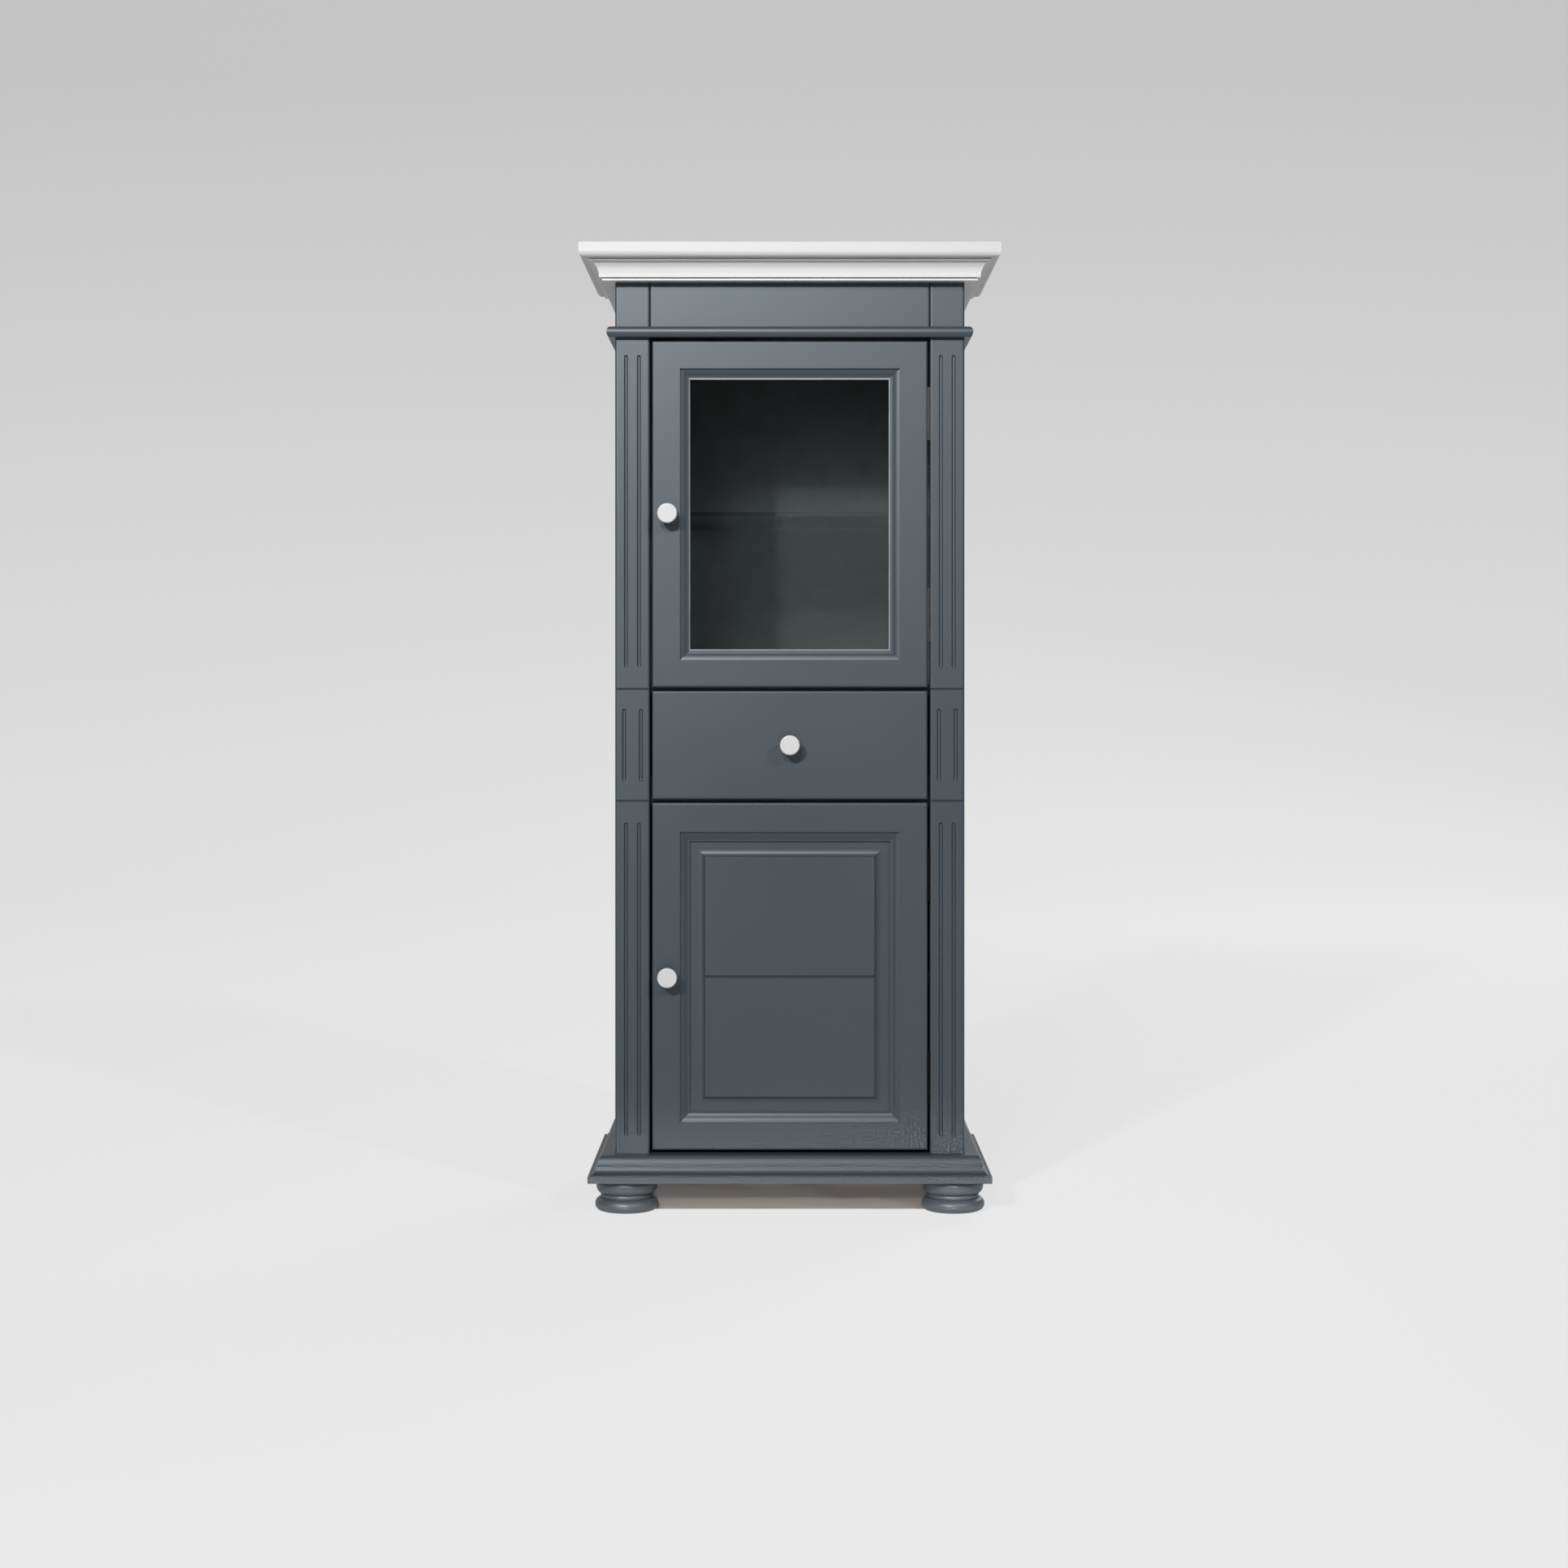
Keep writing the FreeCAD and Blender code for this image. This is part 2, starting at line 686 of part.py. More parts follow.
def pilaster(side):
    """Fluted pilaster with two scribed lines; the right one takes the hinges."""
    middle = (BODY_X - S.pilaster_width / 2) * side
    limits = span(side, PILASTER_X, BODY_X)
    blank = rounded_board(limits, (FACE_Y, FRAME_Y), (BODY_Z, TOP_Z), S.front_round,
                          [("front", "left"), ("front", "right")])
    sections = [
        (S.flute_spacing, PLINTH_Z + S.flute_end_margin, LOWER_SCRIBE_Z - S.flute_scribe_margin),
        (S.middle_flute_spacing, LOWER_SCRIBE_Z + S.middle_flute_margin,
         UPPER_SCRIBE_Z - S.middle_flute_margin),
        (S.flute_spacing, UPPER_SCRIBE_Z + S.flute_scribe_margin, ASTRAGAL_Z - S.flute_end_margin),
    ]
    cutters = studs(side)
    for spacing, low, high in sections:
        for half in (LEFT, RIGHT):
            cutters.append(flute(middle + spacing / 2 * half, (low, high)))
    for height in (LOWER_SCRIBE_Z, UPPER_SCRIBE_Z):
        start = (limits[0] - S.overrun, FACE_Y, height)
        cutters.append(diamond(S.scribe_width, S.pilaster_width + S.overrun * 2, start))
    if side == RIGHT:
        for door_z in (LOWER_DOOR_Z, UPPER_DOOR_Z):
            for centre in hinge_centres(door_z):
                cutters.append(leaf_plate(side, centre))
                cutters += leaf_screws(side, centre)
    return cut(blank, *cutters)


def shelf_pin_points(side):
    """Starts of the shelf pins in one side panel."""
    x = (INSIDE_X + S.shelf_pin_hold) * side
    low_y = FRAME_Y + S.shelf_setback + S.shelf_pin_inset
    high_y = BACK_PANEL_Y - S.shelf_clearance - S.shelf_pin_inset
    heights = (UPPER_DIVIDER_Z[1] + S.glass_shelf_rise, PLINTH_Z + S.lower_shelf_rise)
    return [(x, y, z - S.shelf_pin_radius) for z in heights for y in (low_y, high_y)]


def shelf_pins(side):
    """Pins in one side panel that carry the two shelves."""
    along = "-X" if side == RIGHT else "+X"
    length = S.shelf_pin_hold + S.shelf_pin_out
    return [rod(S.shelf_pin_radius, length, point, along) for point in shelf_pin_points(side)]


def back_screws(side):
    """Screws that hold the back panel to one side panel."""
    x = (INSIDE_X + S.back_lap / 2) * side
    low = BODY_Z + S.back_screw_margin
    pitch = (S.body_height - S.back_screw_margin * 2) / (BACK_SCREWS - 1)
    return [screw((x, BACK_Y, low + pitch * number), "-Y") for number in range(BACK_SCREWS)]


def side_panel(side):
    """Side panel with a rebate for the back and holes for pins and screws."""
    panel = board(span(side, INSIDE_X, BODY_X), (FRAME_Y, BACK_Y), (BODY_Z, TOP_Z))
    rebate = board(span(side, INSIDE_X - S.overrun, INSIDE_X + S.back_lap),
                   (BACK_PANEL_Y, BACK_Y + S.overrun), (BODY_Z - S.overrun, TOP_Z + S.overrun))
    return cut(panel, rebate, *shelf_pins(side), *back_screws(side), *studs(side))


def carcass():
    """Panels, dividers, pilasters, frieze and back."""
    for name, side in (("left", LEFT), ("right", RIGHT)):
        node(f"side_panel_{name}", side_panel(side))
        node(f"pilaster_{name}", pilaster(side))
    across = both_ways(INSIDE_X)
    deep = (FRAME_Y, BACK_PANEL_Y)
    bottom = board(across, deep, (PLINTH_Z - S.panel_board, PLINTH_Z))
    node("bottom_panel", cut(bottom, *studs(LEFT), *studs(RIGHT)))
    node("lower_divider", board(across, deep, LOWER_DIVIDER_Z))
    node("upper_divider", board(across, deep, UPPER_DIVIDER_Z))
    rail_y = (FRAME_Y, FRAME_Y + S.panel_board)
    node("frieze_rail", board(across, rail_y, (ASTRAGAL_Z, TOP_Z)))
    node("frieze_board", rounded_board(
        both_ways(PILASTER_X), (FACE_Y, FRAME_Y), (ASTRAGAL_Z, TOP_Z), S.front_round,
        [("front", "left"), ("front", "right")]))
    node("top_panel", board(across, (rail_y[1], BACK_PANEL_Y), (TOP_Z - S.panel_board, TOP_Z)))
    back = board(both_ways(INSIDE_X + S.back_lap), (BACK_PANEL_Y, BACK_Y), (BODY_Z, TOP_Z))
    node("back_panel", cut(back, *back_screws(LEFT), *back_screws(RIGHT)))


def shelves():
    """Glass shelf above, wooden shelf below, and the pins that carry them."""
    x = both_ways(INSIDE_X - S.shelf_clearance)
    y = (FRAME_Y + S.shelf_setback, BACK_PANEL_Y - S.shelf_clearance)
    glass_z = UPPER_DIVIDER_Z[1] + S.glass_shelf_rise
    wood_z = PLINTH_Z + S.lower_shelf_rise
    node("glass_shelf", board(x, y, (glass_z, glass_z + S.glass_shelf_board)))
    node("lower_shelf", board(x, y, (wood_z, wood_z + S.lower_shelf_board)))
    node("shelf_pins", group(*shelf_pins(LEFT), *shelf_pins(RIGHT)))


def catch_x():
    """X limits of a door catch, behind the stile that has the knob."""
    low = -DOOR_X + S.catch_inset
    return (low, low + S.catch_width)


def fittings():
    """Runners, door catches, and the frame's half of the hinges with all carcass screws."""
    guide_x = DRAWER_X + S.runner_clearance
    z = (LOWER_DIVIDER_Z[1], LOWER_DIVIDER_Z[1] + S.runner_height)
    runners = [board(span(side, guide_x, INSIDE_X), (FRAME_Y, BACK_PANEL_Y), z)
               for side in (LEFT, RIGHT)]
    node("drawer_runners", group(*runners))
    catch_y = DOOR_BACK_Y + S.strike_board + S.catch_gap
    y = (catch_y, catch_y + S.catch_depth)
    upper = board(catch_x(), y, (UPPER_DIVIDER_Z[1], UPPER_DIVIDER_Z[1] + S.catch_height))
    lower = board(catch_x(), y, (LOWER_DIVIDER_Z[0] - S.catch_height, LOWER_DIVIDER_Z[0]))
    node("door_catches", group(upper, lower))
    centres = [*hinge_centres(LOWER_DOOR_Z), *hinge_centres(UPPER_DOOR_Z)]
    node("hinge_frame_leaves", group(*[hinge_leaf(RIGHT, centre) for centre in centres]))
    node("hinge_pins", group(*[hinge_pin(centre) for centre in centres]))
    screws = [item for centre in centres for item in leaf_screws(RIGHT, centre)]
    node("carcass_screws", group(*screws, *back_screws(LEFT), *back_screws(RIGHT)))


def frame_opening(door_z):
    """X and Z limits of the opening inside a door's stiles and rails."""
    top_rail = S.lower_top_rail_width if door_z is LOWER_DOOR_Z else S.rail_width
    return both_ways(DOOR_X - S.stile_width), (door_z[0] + S.rail_width, door_z[1] - top_rail)


def inset(limits, margin):
    """Limits drawn in by a margin at both ends."""
    return (limits[0] + margin, limits[1] - margin)


def mitred_ring(x, z, reach, corners, arcs):
    """Four mitred lengths round a rectangle, their section of (out, depth below the face) corners."""
    middle_z = (z[0] + z[1]) / 2
    sides = [
        (x[1] - x[0], ZERO, z[1], 0),
        (z[1] - z[0], x[1], middle_z, 90),
        (x[1] - x[0], ZERO, z[0], 180),
        (z[1] - z[0], x[0], middle_z, -90),
    ]
    lengths = []
    for length, at_x, at_z, angle in sides:
        piece = strip(length, reach, corners, arcs, (LEFT, RIGHT))
        turn = Rotation(Vector(0, 1, 0), angle).multiply(ALONG["+Y"])
        lengths.append(place(piece, at_x, FACE_Y, at_z, turn))
    return lengths


def door_moulding(name, door_z):
    """Mitred ogee moulding round a door's opening, set below the face of the frame."""
    x, z = frame_opening(door_z)
    width = S.moulding_width
    corners = [
        (ZERO, S.moulding_lip_depth),
        (S.moulding_lip_width, S.moulding_lip_depth),
        (width - S.moulding_ogee_width, S.moulding_ogee_depth),
        (width, S.moulding_quirk),
        (width, S.moulding_depth),
        (ZERO, S.moulding_depth),
    ]
    arcs = {1: (OGEE_SHARE, -1), 2: (OGEE_SHARE, 1)}
    node(f"{name}_moulding", group(*mitred_ring(inset(x, width), inset(z, width), width, corners, arcs)))


def door_frame(name, door_z):
    """Stiles, rails, moulding, knob, hinge leaves and fixings of one door."""
    y = (FACE_Y, DOOR_BACK_Y)
    opening_x, opening_z = frame_opening(door_z)
    knob_x = -DOOR_X + S.knob_inset
    knob_z = (door_z[0] + door_z[1]) / 2
    ends = [("front", "top"), ("front", "bottom")]
    left = rounded_board((-DOOR_X, opening_x[0]), y, door_z, S.front_round,
                         [("front", "left"), *ends])
    node(f"{name}_stile_left", cut(left, bolt_hole(knob_x, knob_z)))
    right = rounded_board((opening_x[1], DOOR_X), y, door_z, S.front_round,
                          [("front", "right"), *ends])
    centres = hinge_centres(door_z)
    cutters = [leaf_plate(LEFT, centre) for centre in centres]
    holes = [item for centre in centres for item in leaf_screws(LEFT, centre)]
    node(f"{name}_stile_right", cut(right, *cutters, *holes))
    node(f"{name}_rail_top", rounded_board(opening_x, y, (opening_z[1], door_z[1]), S.front_round,
                                           [("front", "top")]))
    node(f"{name}_rail_bottom", rounded_board(opening_x, y, (door_z[0], opening_z[0]),
                                              S.front_round, [("front", "bottom")]))
    door_moulding(name, door_z)
    node(f"{name}_knob", place(knob(), knob_x, FACE_Y, knob_z, ALONG["-Y"]))
    node(f"{name}_hinge_leaves", group(*[hinge_leaf(LEFT, centre) for centre in centres]))
    screws = [item for centre in centres for item in leaf_screws(LEFT, centre)]
    return [knob_bolt(knob_x, knob_z), *screws]


def strike(low):
    """Strike plate of a door catch, on the back of a door."""
    y = (DOOR_BACK_Y, DOOR_BACK_Y + S.strike_board)
    return board(catch_x(), y, (low, low + S.catch_height))


def upper_door():
    """Glazed door: the pane lies behind the moulding and is held by beads at the back."""
    fixings = door_frame("upper_door", UPPER_DOOR_Z)
    x, z = frame_opening(UPPER_DOOR_Z)
    glass_y = FACE_Y + S.moulding_depth
    bead_y = (glass_y + S.glass_board, DOOR_BACK_Y)
    node("upper_door_glass", board(x, (glass_y, bead_y[0]), z))
    upright = (z[0] + S.bead_width, z[1] - S.bead_width)
    beads = [
        board(x, bead_y, (z[0], upright[0])),
        board(x, bead_y, (upright[1], z[1])),
        board((x[0], x[0] + S.bead_width), bead_y, upright),
        board((x[1] - S.bead_width, x[1]), bead_y, upright),
    ]
    node("upper_door_glazing_beads", group(*beads))
    node("upper_door_fixings", group(*fixings, strike(UPPER_DIVIDER_Z[1])))


def lower_door():
    """Panelled door: a raised field with hollow edges and one groove across its middle."""
    fixings = door_frame("lower_door", LOWER_DOOR_Z)
    x, z = frame_opening(LOWER_DOOR_Z)
    plate_y = FACE_Y + S.moulding_depth
    plate = board(x, (plate_y, DOOR_BACK_Y), z)
    field_in = S.moulding_width + S.panel_margin + S.bevel_width
    field_x = inset(x, field_in)
    field_z = inset(z, field_in)
    field_y = plate_y - S.field_raise
    field = board(field_x, (field_y, plate_y), field_z)
    corners = [
        (ZERO, S.moulding_depth - S.field_raise),
        (S.bevel_width, S.moulding_depth),
        (ZERO, S.moulding_depth),
    ]
    hollows = mitred_ring(field_x, field_z, S.bevel_width, corners, {0: (BEVEL_SHARE, -1)})
    scribe = diamond(S.field_scribe_width, field_x[1] - field_x[0],
                     (field_x[0], field_y, (z[0] + z[1]) / 2))
    node("lower_door_panel", cut(fuse(plate, field, *hollows), scribe))
    node("lower_door_fixings", group(*fixings, strike(LOWER_DIVIDER_Z[0] - S.catch_height)))


def drawer():
    """Drawer: a plain rounded front on a box whose bottom lies in grooves."""
    middle_z = (DRAWER_Z[0] + DRAWER_Z[1]) / 2
    rim = [("front", "left"), ("front", "right"), ("front", "top"), ("front", "bottom")]
    front = rounded_board(both_ways(DOOR_X), (FACE_Y, DOOR_BACK_Y), DRAWER_Z, S.front_round, rim)
    node("drawer_front", cut(front, bolt_hole(ZERO, middle_z)))
    node("drawer_knob", place(knob(), ZERO, FACE_Y, middle_z, ALONG["-Y"]))
    node("drawer_knob_bolt", knob_bolt(ZERO, middle_z))
    low = LOWER_DIVIDER_Z[1] + S.drawer_lift
    side_y = (DOOR_BACK_Y, DOOR_BACK_Y + S.drawer_length)
    side_z = (low, low + S.drawer_side_height)
    inner_x = DRAWER_X - S.drawer_side_board
    bottom_x = inner_x + S.drawer_groove
    bottom_z = (low + S.drawer_bottom_rise, low + S.drawer_bottom_rise + S.drawer_bottom_board)
    bottom = board(both_ways(bottom_x), side_y, bottom_z)
    node("drawer_bottom", bottom)
    for name, side in (("left", LEFT), ("right", RIGHT)):
        blank = board(span(side, inner_x, DRAWER_X), side_y, side_z)
        groove_y = (side_y[0] - S.overrun, side_y[1] + S.overrun)
        groove = board(span(side, inner_x - S.overrun, bottom_x), groove_y, bottom_z)
        node(f"drawer_side_{name}", cut(blank, groove))
    node("drawer_back", board(both_ways(inner_x), (side_y[1] - S.drawer_side_board, side_y[1]),
                              (bottom_z[1], side_z[1])))


def check_and_export():
    """Stop on any failed object, then write every sub-part to its own file."""
    DOC.recompute()
    for thing in DOC.Objects:
        if {"Invalid", "Error"} & set(thing.State):
            raise RuntimeError(f"{thing.Label} failed: {thing.State}")
    for thing in NODES:
        if thing.Shape.isNull() or not thing.Shape.isValid():
            raise RuntimeError(f"{thing.Label} has no valid shape")
    os.makedirs("parts", exist_ok=True)
    for thing in NODES:
        thing.Shape.exportStep(os.path.join("parts", f"{thing.Label}.step"))
        print(f"{thing.Label}: {len(thing.Shape.Solids)} solid(s)")


base()
carcass()
head()
shelves()
fittings()
upper_door()
lower_door()
drawer()
check_and_export()
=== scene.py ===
import logging
import math
from dataclasses import dataclass, field
from enum import Enum

import bpy
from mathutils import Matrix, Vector


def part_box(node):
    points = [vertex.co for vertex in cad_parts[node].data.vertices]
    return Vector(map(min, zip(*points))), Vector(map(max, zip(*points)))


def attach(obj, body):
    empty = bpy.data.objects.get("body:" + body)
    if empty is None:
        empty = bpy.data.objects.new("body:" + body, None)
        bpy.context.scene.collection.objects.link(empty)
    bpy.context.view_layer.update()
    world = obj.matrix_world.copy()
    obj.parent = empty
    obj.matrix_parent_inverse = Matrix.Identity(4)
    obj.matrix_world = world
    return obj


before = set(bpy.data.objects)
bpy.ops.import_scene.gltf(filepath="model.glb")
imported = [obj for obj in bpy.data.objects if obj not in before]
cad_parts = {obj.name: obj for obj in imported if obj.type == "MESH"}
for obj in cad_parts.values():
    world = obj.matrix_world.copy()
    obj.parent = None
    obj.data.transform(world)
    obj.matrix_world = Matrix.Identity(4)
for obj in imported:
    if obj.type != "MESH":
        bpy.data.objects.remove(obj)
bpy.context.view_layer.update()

LOG = logging.getLogger("display_cabinet")
PHOTO_SIDE = 1932.0

Colour = tuple[float, float, float]
Point = tuple[float, float, float]
Span = tuple[float, float]


class Grain(Enum):
    """Axis that the fibres of a board follow."""

    ACROSS = 0
    DEEP = 1
    UPRIGHT = 2

    def stretch(self, along: float, across: float) -> Point:
        """Texture scale that draws a pattern out along the fibres.

        Args:
            along: scale along the fibres, per metre.
            across: scale over the fibres, per metre.

        Returns:
            One scale for each axis.
        """
        return tuple(along if axis == self.value else across for axis in range(3))


class Graph:
    """The node tree of one material, with short calls for what the finishes use."""

    def __init__(self, name: str) -> None:
        """Start an empty tree with a principled shader.

        Args:
            name: name of the material.
        """
        self.material = bpy.data.materials.new(name)
        self.material.use_nodes = True
        self.nodes = self.material.node_tree.nodes
        self.links = self.material.node_tree.links
        self.shader = self.nodes["Principled BSDF"]
        self.output = self.nodes["Material Output"]
        self.place = self.nodes.new("ShaderNodeTexCoord").outputs["Object"]

    def set(self, **values: object) -> None:
        """Set plain values on the shader's own sockets.

        Args:
            values: socket names with underscores for spaces, and their values.
        """
        for name, value in values.items():
            self.shader.inputs[name.replace("_", " ")].default_value = value

    def join(self, source: bpy.types.NodeSocket, name: str) -> None:
        """Link a socket to one of the shader's inputs."""
        self.links.new(source, self.shader.inputs[name])

    def stretched(self, scale: Point) -> bpy.types.NodeSocket:
        """Object coordinates multiplied by a scale for each axis.

        Args:
            scale: factor for each axis.

        Returns:
            The stretched coordinates.
        """
        node = self.nodes.new("ShaderNodeMapping")
        node.inputs["Scale"].default_value = scale
        self.links.new(self.place, node.inputs["Vector"])
        return node.outputs["Vector"]

    def noise(self, scale: float, detail: float = 2.0, place: bpy.types.NodeSocket | None = None,
              distortion: float = 0.0) -> bpy.types.NodeSocket:
        """Soft noise between 0 and 1.

        Args:
            scale: how many features fit in a unit of the coordinates.
            detail: how many finer layers are added.
            place: coordinates, the object's own where none are given.
            distortion: how much the noise folds over itself.

        Returns:
            The noise's factor.
        """
        node = self.nodes.new("ShaderNodeTexNoise")
        node.inputs["Scale"].default_value = scale
        node.inputs["Detail"].default_value = detail
        node.inputs["Distortion"].default_value = distortion
        self.links.new(place or self.place, node.inputs["Vector"])
        return node.outputs["Fac"]

    def ranged(self, factor: bpy.types.NodeSocket, low: float, high: float,
               spread: float = 0.25) -> bpy.types.NodeSocket:
        """Carry a noise over to a range of values.

        Args:
            factor: noise about one half.
            low: value at the noise's low end.
            high: value at the noise's high end.
            spread: how far from one half the ends lie.

        Returns:
            The value.
        """
        return self.mapped(factor, (0.5 - spread, 0.5 + spread), (low, high))

    def mapped(self, value: bpy.types.NodeSocket, source: Span, result: Span = (0.0, 1.0)
               ) -> bpy.types.NodeSocket:
        """Carry a value from one range over to another, and hold it at the ends.

        Args:
            value: the value.
            source: the range that it comes from.
            result: the range that it goes to.

        Returns:
            The new value.
        """
        node = self.nodes.new("ShaderNodeMapRange")
        ends = zip(("From Min", "From Max", "To Min", "To Max"), (*source, *result))
        for name, end in ends:
            node.inputs[name].default_value = end
        self.links.new(value, node.inputs["Value"])
        return node.outputs["Result"]

    def along(self, axis: str) -> bpy.types.NodeSocket:
        """Place along one axis, in metres.

        Args:
            axis: X, Y or Z.

        Returns:
            The coordinate.
        """
        node = self.nodes.new("ShaderNodeSeparateXYZ")
        self.links.new(self.place, node.inputs["Vector"])
        return node.outputs[axis]

    def maths(self, operation: str, first: bpy.types.NodeSocket,
              second: bpy.types.NodeSocket | float) -> bpy.types.NodeSocket:
        """Sum or product of two values, held between 0 and 1.

        Args:
            operation: ADD or MULTIPLY.
            first: first value.
            second: second value, a socket or a number.

        Returns:
            The result.
        """
        node = self.nodes.new("ShaderNodeMath")
        node.operation = operation
        node.use_clamp = True
        self.links.new(first, node.inputs[0])
        if isinstance(second, float):
            node.inputs[1].default_value = second
        else:
            self.links.new(second, node.inputs[1])
        return node.outputs["Value"]

    def mixed(self, share: bpy.types.NodeSocket, other: bpy.types.NodeSocket) -> None:
        """Put a mix of the principled shader and another one on the surface.

        Args:
            share: share of the other shader.
            other: the other shader.
        """
        mix = self.nodes.new("ShaderNodeMixShader")
        self.links.new(share, mix.inputs["Fac"])
        self.links.new(self.shader.outputs["BSDF"], mix.inputs[1])
        self.links.new(other, mix.inputs[2])
        self.links.new(mix.outputs["Shader"], self.output.inputs["Surface"])

    def ramp(self, factor: bpy.types.NodeSocket,
             stops: list[tuple[float, Colour]]) -> bpy.types.NodeSocket:
        """Colour ramp along a factor.

        Args:
            factor: where along the ramp.
            stops: places with their colours, in rising order.

        Returns:
            The colour.
        """
        node = self.nodes.new("ShaderNodeValToRGB")
        elements = node.color_ramp.elements
        while len(elements) < len(stops):
            elements.new(0.5)
        for element, (place, colour) in zip(elements, stops):
            element.position = place
            element.color = (*colour, 1.0)
        self.links.new(factor, node.inputs["Fac"])
        return node.outputs["Color"]

    def tinted(self, colour: bpy.types.NodeSocket, factor: bpy.types.NodeSocket) -> bpy.types.NodeSocket:
        """Colour made lighter or darker by a factor near one.

        Args:
            colour: the colour.
            factor: what it is multiplied by.

        Returns:
            The changed colour.
        """
        node = self.nodes.new("ShaderNodeVectorMath")
        node.operation = "SCALE"
        self.links.new(colour, node.inputs[0])
        self.links.new(factor, node.inputs["Scale"])
        return node.outputs["Vector"]

    def bumped(self, *layers: tuple[bpy.types.NodeSocket, float, float]) -> None:
        """Stack bumps on the shader's normal.

        Args:
            layers: height, strength and depth in metres of each bump.
        """
        last = None
        for height, strength, depth in layers:
            node = self.nodes.new("ShaderNodeBump")
            node.inputs["Strength"].default_value = strength
            node.inputs["Distance"].default_value = depth
            self.links.new(height, node.inputs["Height"])
            if last:
                self.links.new(last, node.inputs["Normal"])
            last = node.outputs["Normal"]
        self.join(last, "Normal")


def shade(colour: Colour, factor: float) -> Colour:
    """Colour made lighter or darker.

    Args:
        colour: linear colour.
        factor: what each channel is multiplied by.

    Returns:
        The new colour.
    """
    return tuple(min(1.0, channel * factor) for channel in colour)


@dataclass(frozen=True)
class Paint:
    """Sprayed satin paint: faint clouding, orange peel and a trace of the grain below."""

    name: str
    colour: Colour
    roughness: float
    clouding: float = 0.05
    peel: float = 0.05
    grain: Grain = Grain.UPRIGHT
    specular: float = 0.5
    tint: Colour = (1.0, 1.0, 1.0)
    cloud_scale: float = 2.4
    fibre_scale: Span = (6.0, 170.0)
    peel_scale: float = 640.0
    gloss_spread: float = 0.03

    def material(self) -> bpy.types.Material:
        """Make the paint's material.

        Returns:
            The material.
        """
        graph = Graph(self.name)
        cloud = graph.noise(self.cloud_scale, 3.0)
        fibre = graph.noise(1.0, 4.0, graph.stretched(self.grain.stretch(*self.fibre_scale)))
        peel = graph.noise(self.peel_scale, 1.0)
        body = graph.ramp(cloud, [(0.3, shade(self.colour, 1 - self.clouding)),
                                  (0.7, shade(self.colour, 1 + self.clouding))])
        graph.join(graph.tinted(body, graph.ranged(fibre, 0.985, 1.015)), "Base Color")
        gloss = graph.ranged(cloud, self.roughness - self.gloss_spread, self.roughness + self.gloss_spread)
        graph.join(gloss, "Roughness")
        graph.set(Specular_IOR_Level=self.specular, Specular_Tint=(*self.tint, 1.0))
        graph.bumped((fibre, 0.10, 0.00025), (peel, self.peel, 0.0003))
        return graph.material


@dataclass(frozen=True)
class Timber:
    """Bare sanded softwood with growth rings, fibres and pores."""

    name: str
    early: Colour
    late: Colour
    grain: Grain
    roughness: float = 0.55
    ring_scale: float = 14.0
    ring_wander: float = 5.0
    fibre_scale: Span = (9.0, 420.0)
    drift_scale: Span = (1.2, 9.0)

    def material(self) -> bpy.types.Material:
        """Make the timber's material.

        Returns:
            The material.
        """
        graph = Graph(self.name)
        drift = graph.noise(1.0, 2.0, graph.stretched(self.grain.stretch(*self.drift_scale)), 0.6)
        rings = graph.nodes.new("ShaderNodeTexWave")
        rings.wave_type = "RINGS"
        rings.rings_direction = ("X", "Y", "Z")[self.grain.value]
        rings.inputs["Scale"].default_value = self.ring_scale
        rings.inputs["Distortion"].default_value = self.ring_wander
        rings.inputs["Detail"].default_value = 2.0
        rings.inputs["Detail Scale"].default_value = 1.4
        graph.links.new(graph.stretched(self.grain.stretch(0.25, 1.0)), rings.inputs["Vector"])
        fibre = graph.noise(1.0, 5.0, graph.stretched(self.grain.stretch(*self.fibre_scale)))
        wood = graph.ramp(rings.outputs["Fac"], [(0.0, self.early), (0.55, shade(self.early, 0.94)),
                                                 (1.0, self.late)])
        tone = graph.tinted(wood, graph.ranged(drift, 0.9, 1.08))
        graph.join(graph.tinted(tone, graph.ranged(fibre, 0.93, 1.05)), "Base Color")
        graph.join(graph.ranged(fibre, self.roughness - 0.08, self.roughness + 0.08), "Roughness")
        graph.bumped((fibre, 0.25, 0.0003), (rings.outputs["Fac"], 0.06, 0.0004))
        return graph.material


@dataclass(frozen=True)
class Fibreboard:
    """Pressed board with short mixed fibres."""

    name: str
    colour: Colour
    roughness: float = 0.7

    def material(self) -> bpy.types.Material:
        """Make the board's material.

        Returns:
            The material.
        """
        graph = Graph(self.name)
        mottle = graph.noise(38.0, 5.0)
        fleck = graph.noise(520.0, 3.0)
        body = graph.ramp(mottle, [(0.3, shade(self.colour, 0.9)), (0.7, shade(self.colour, 1.1))])
        graph.join(graph.tinted(body, graph.ranged(fleck, 0.94, 1.06)), "Base Color")
        graph.join(graph.ranged(fleck, self.roughness - 0.08, self.roughness + 0.08), "Roughness")
        graph.bumped((fleck, 0.2, 0.0003))
        return graph.material


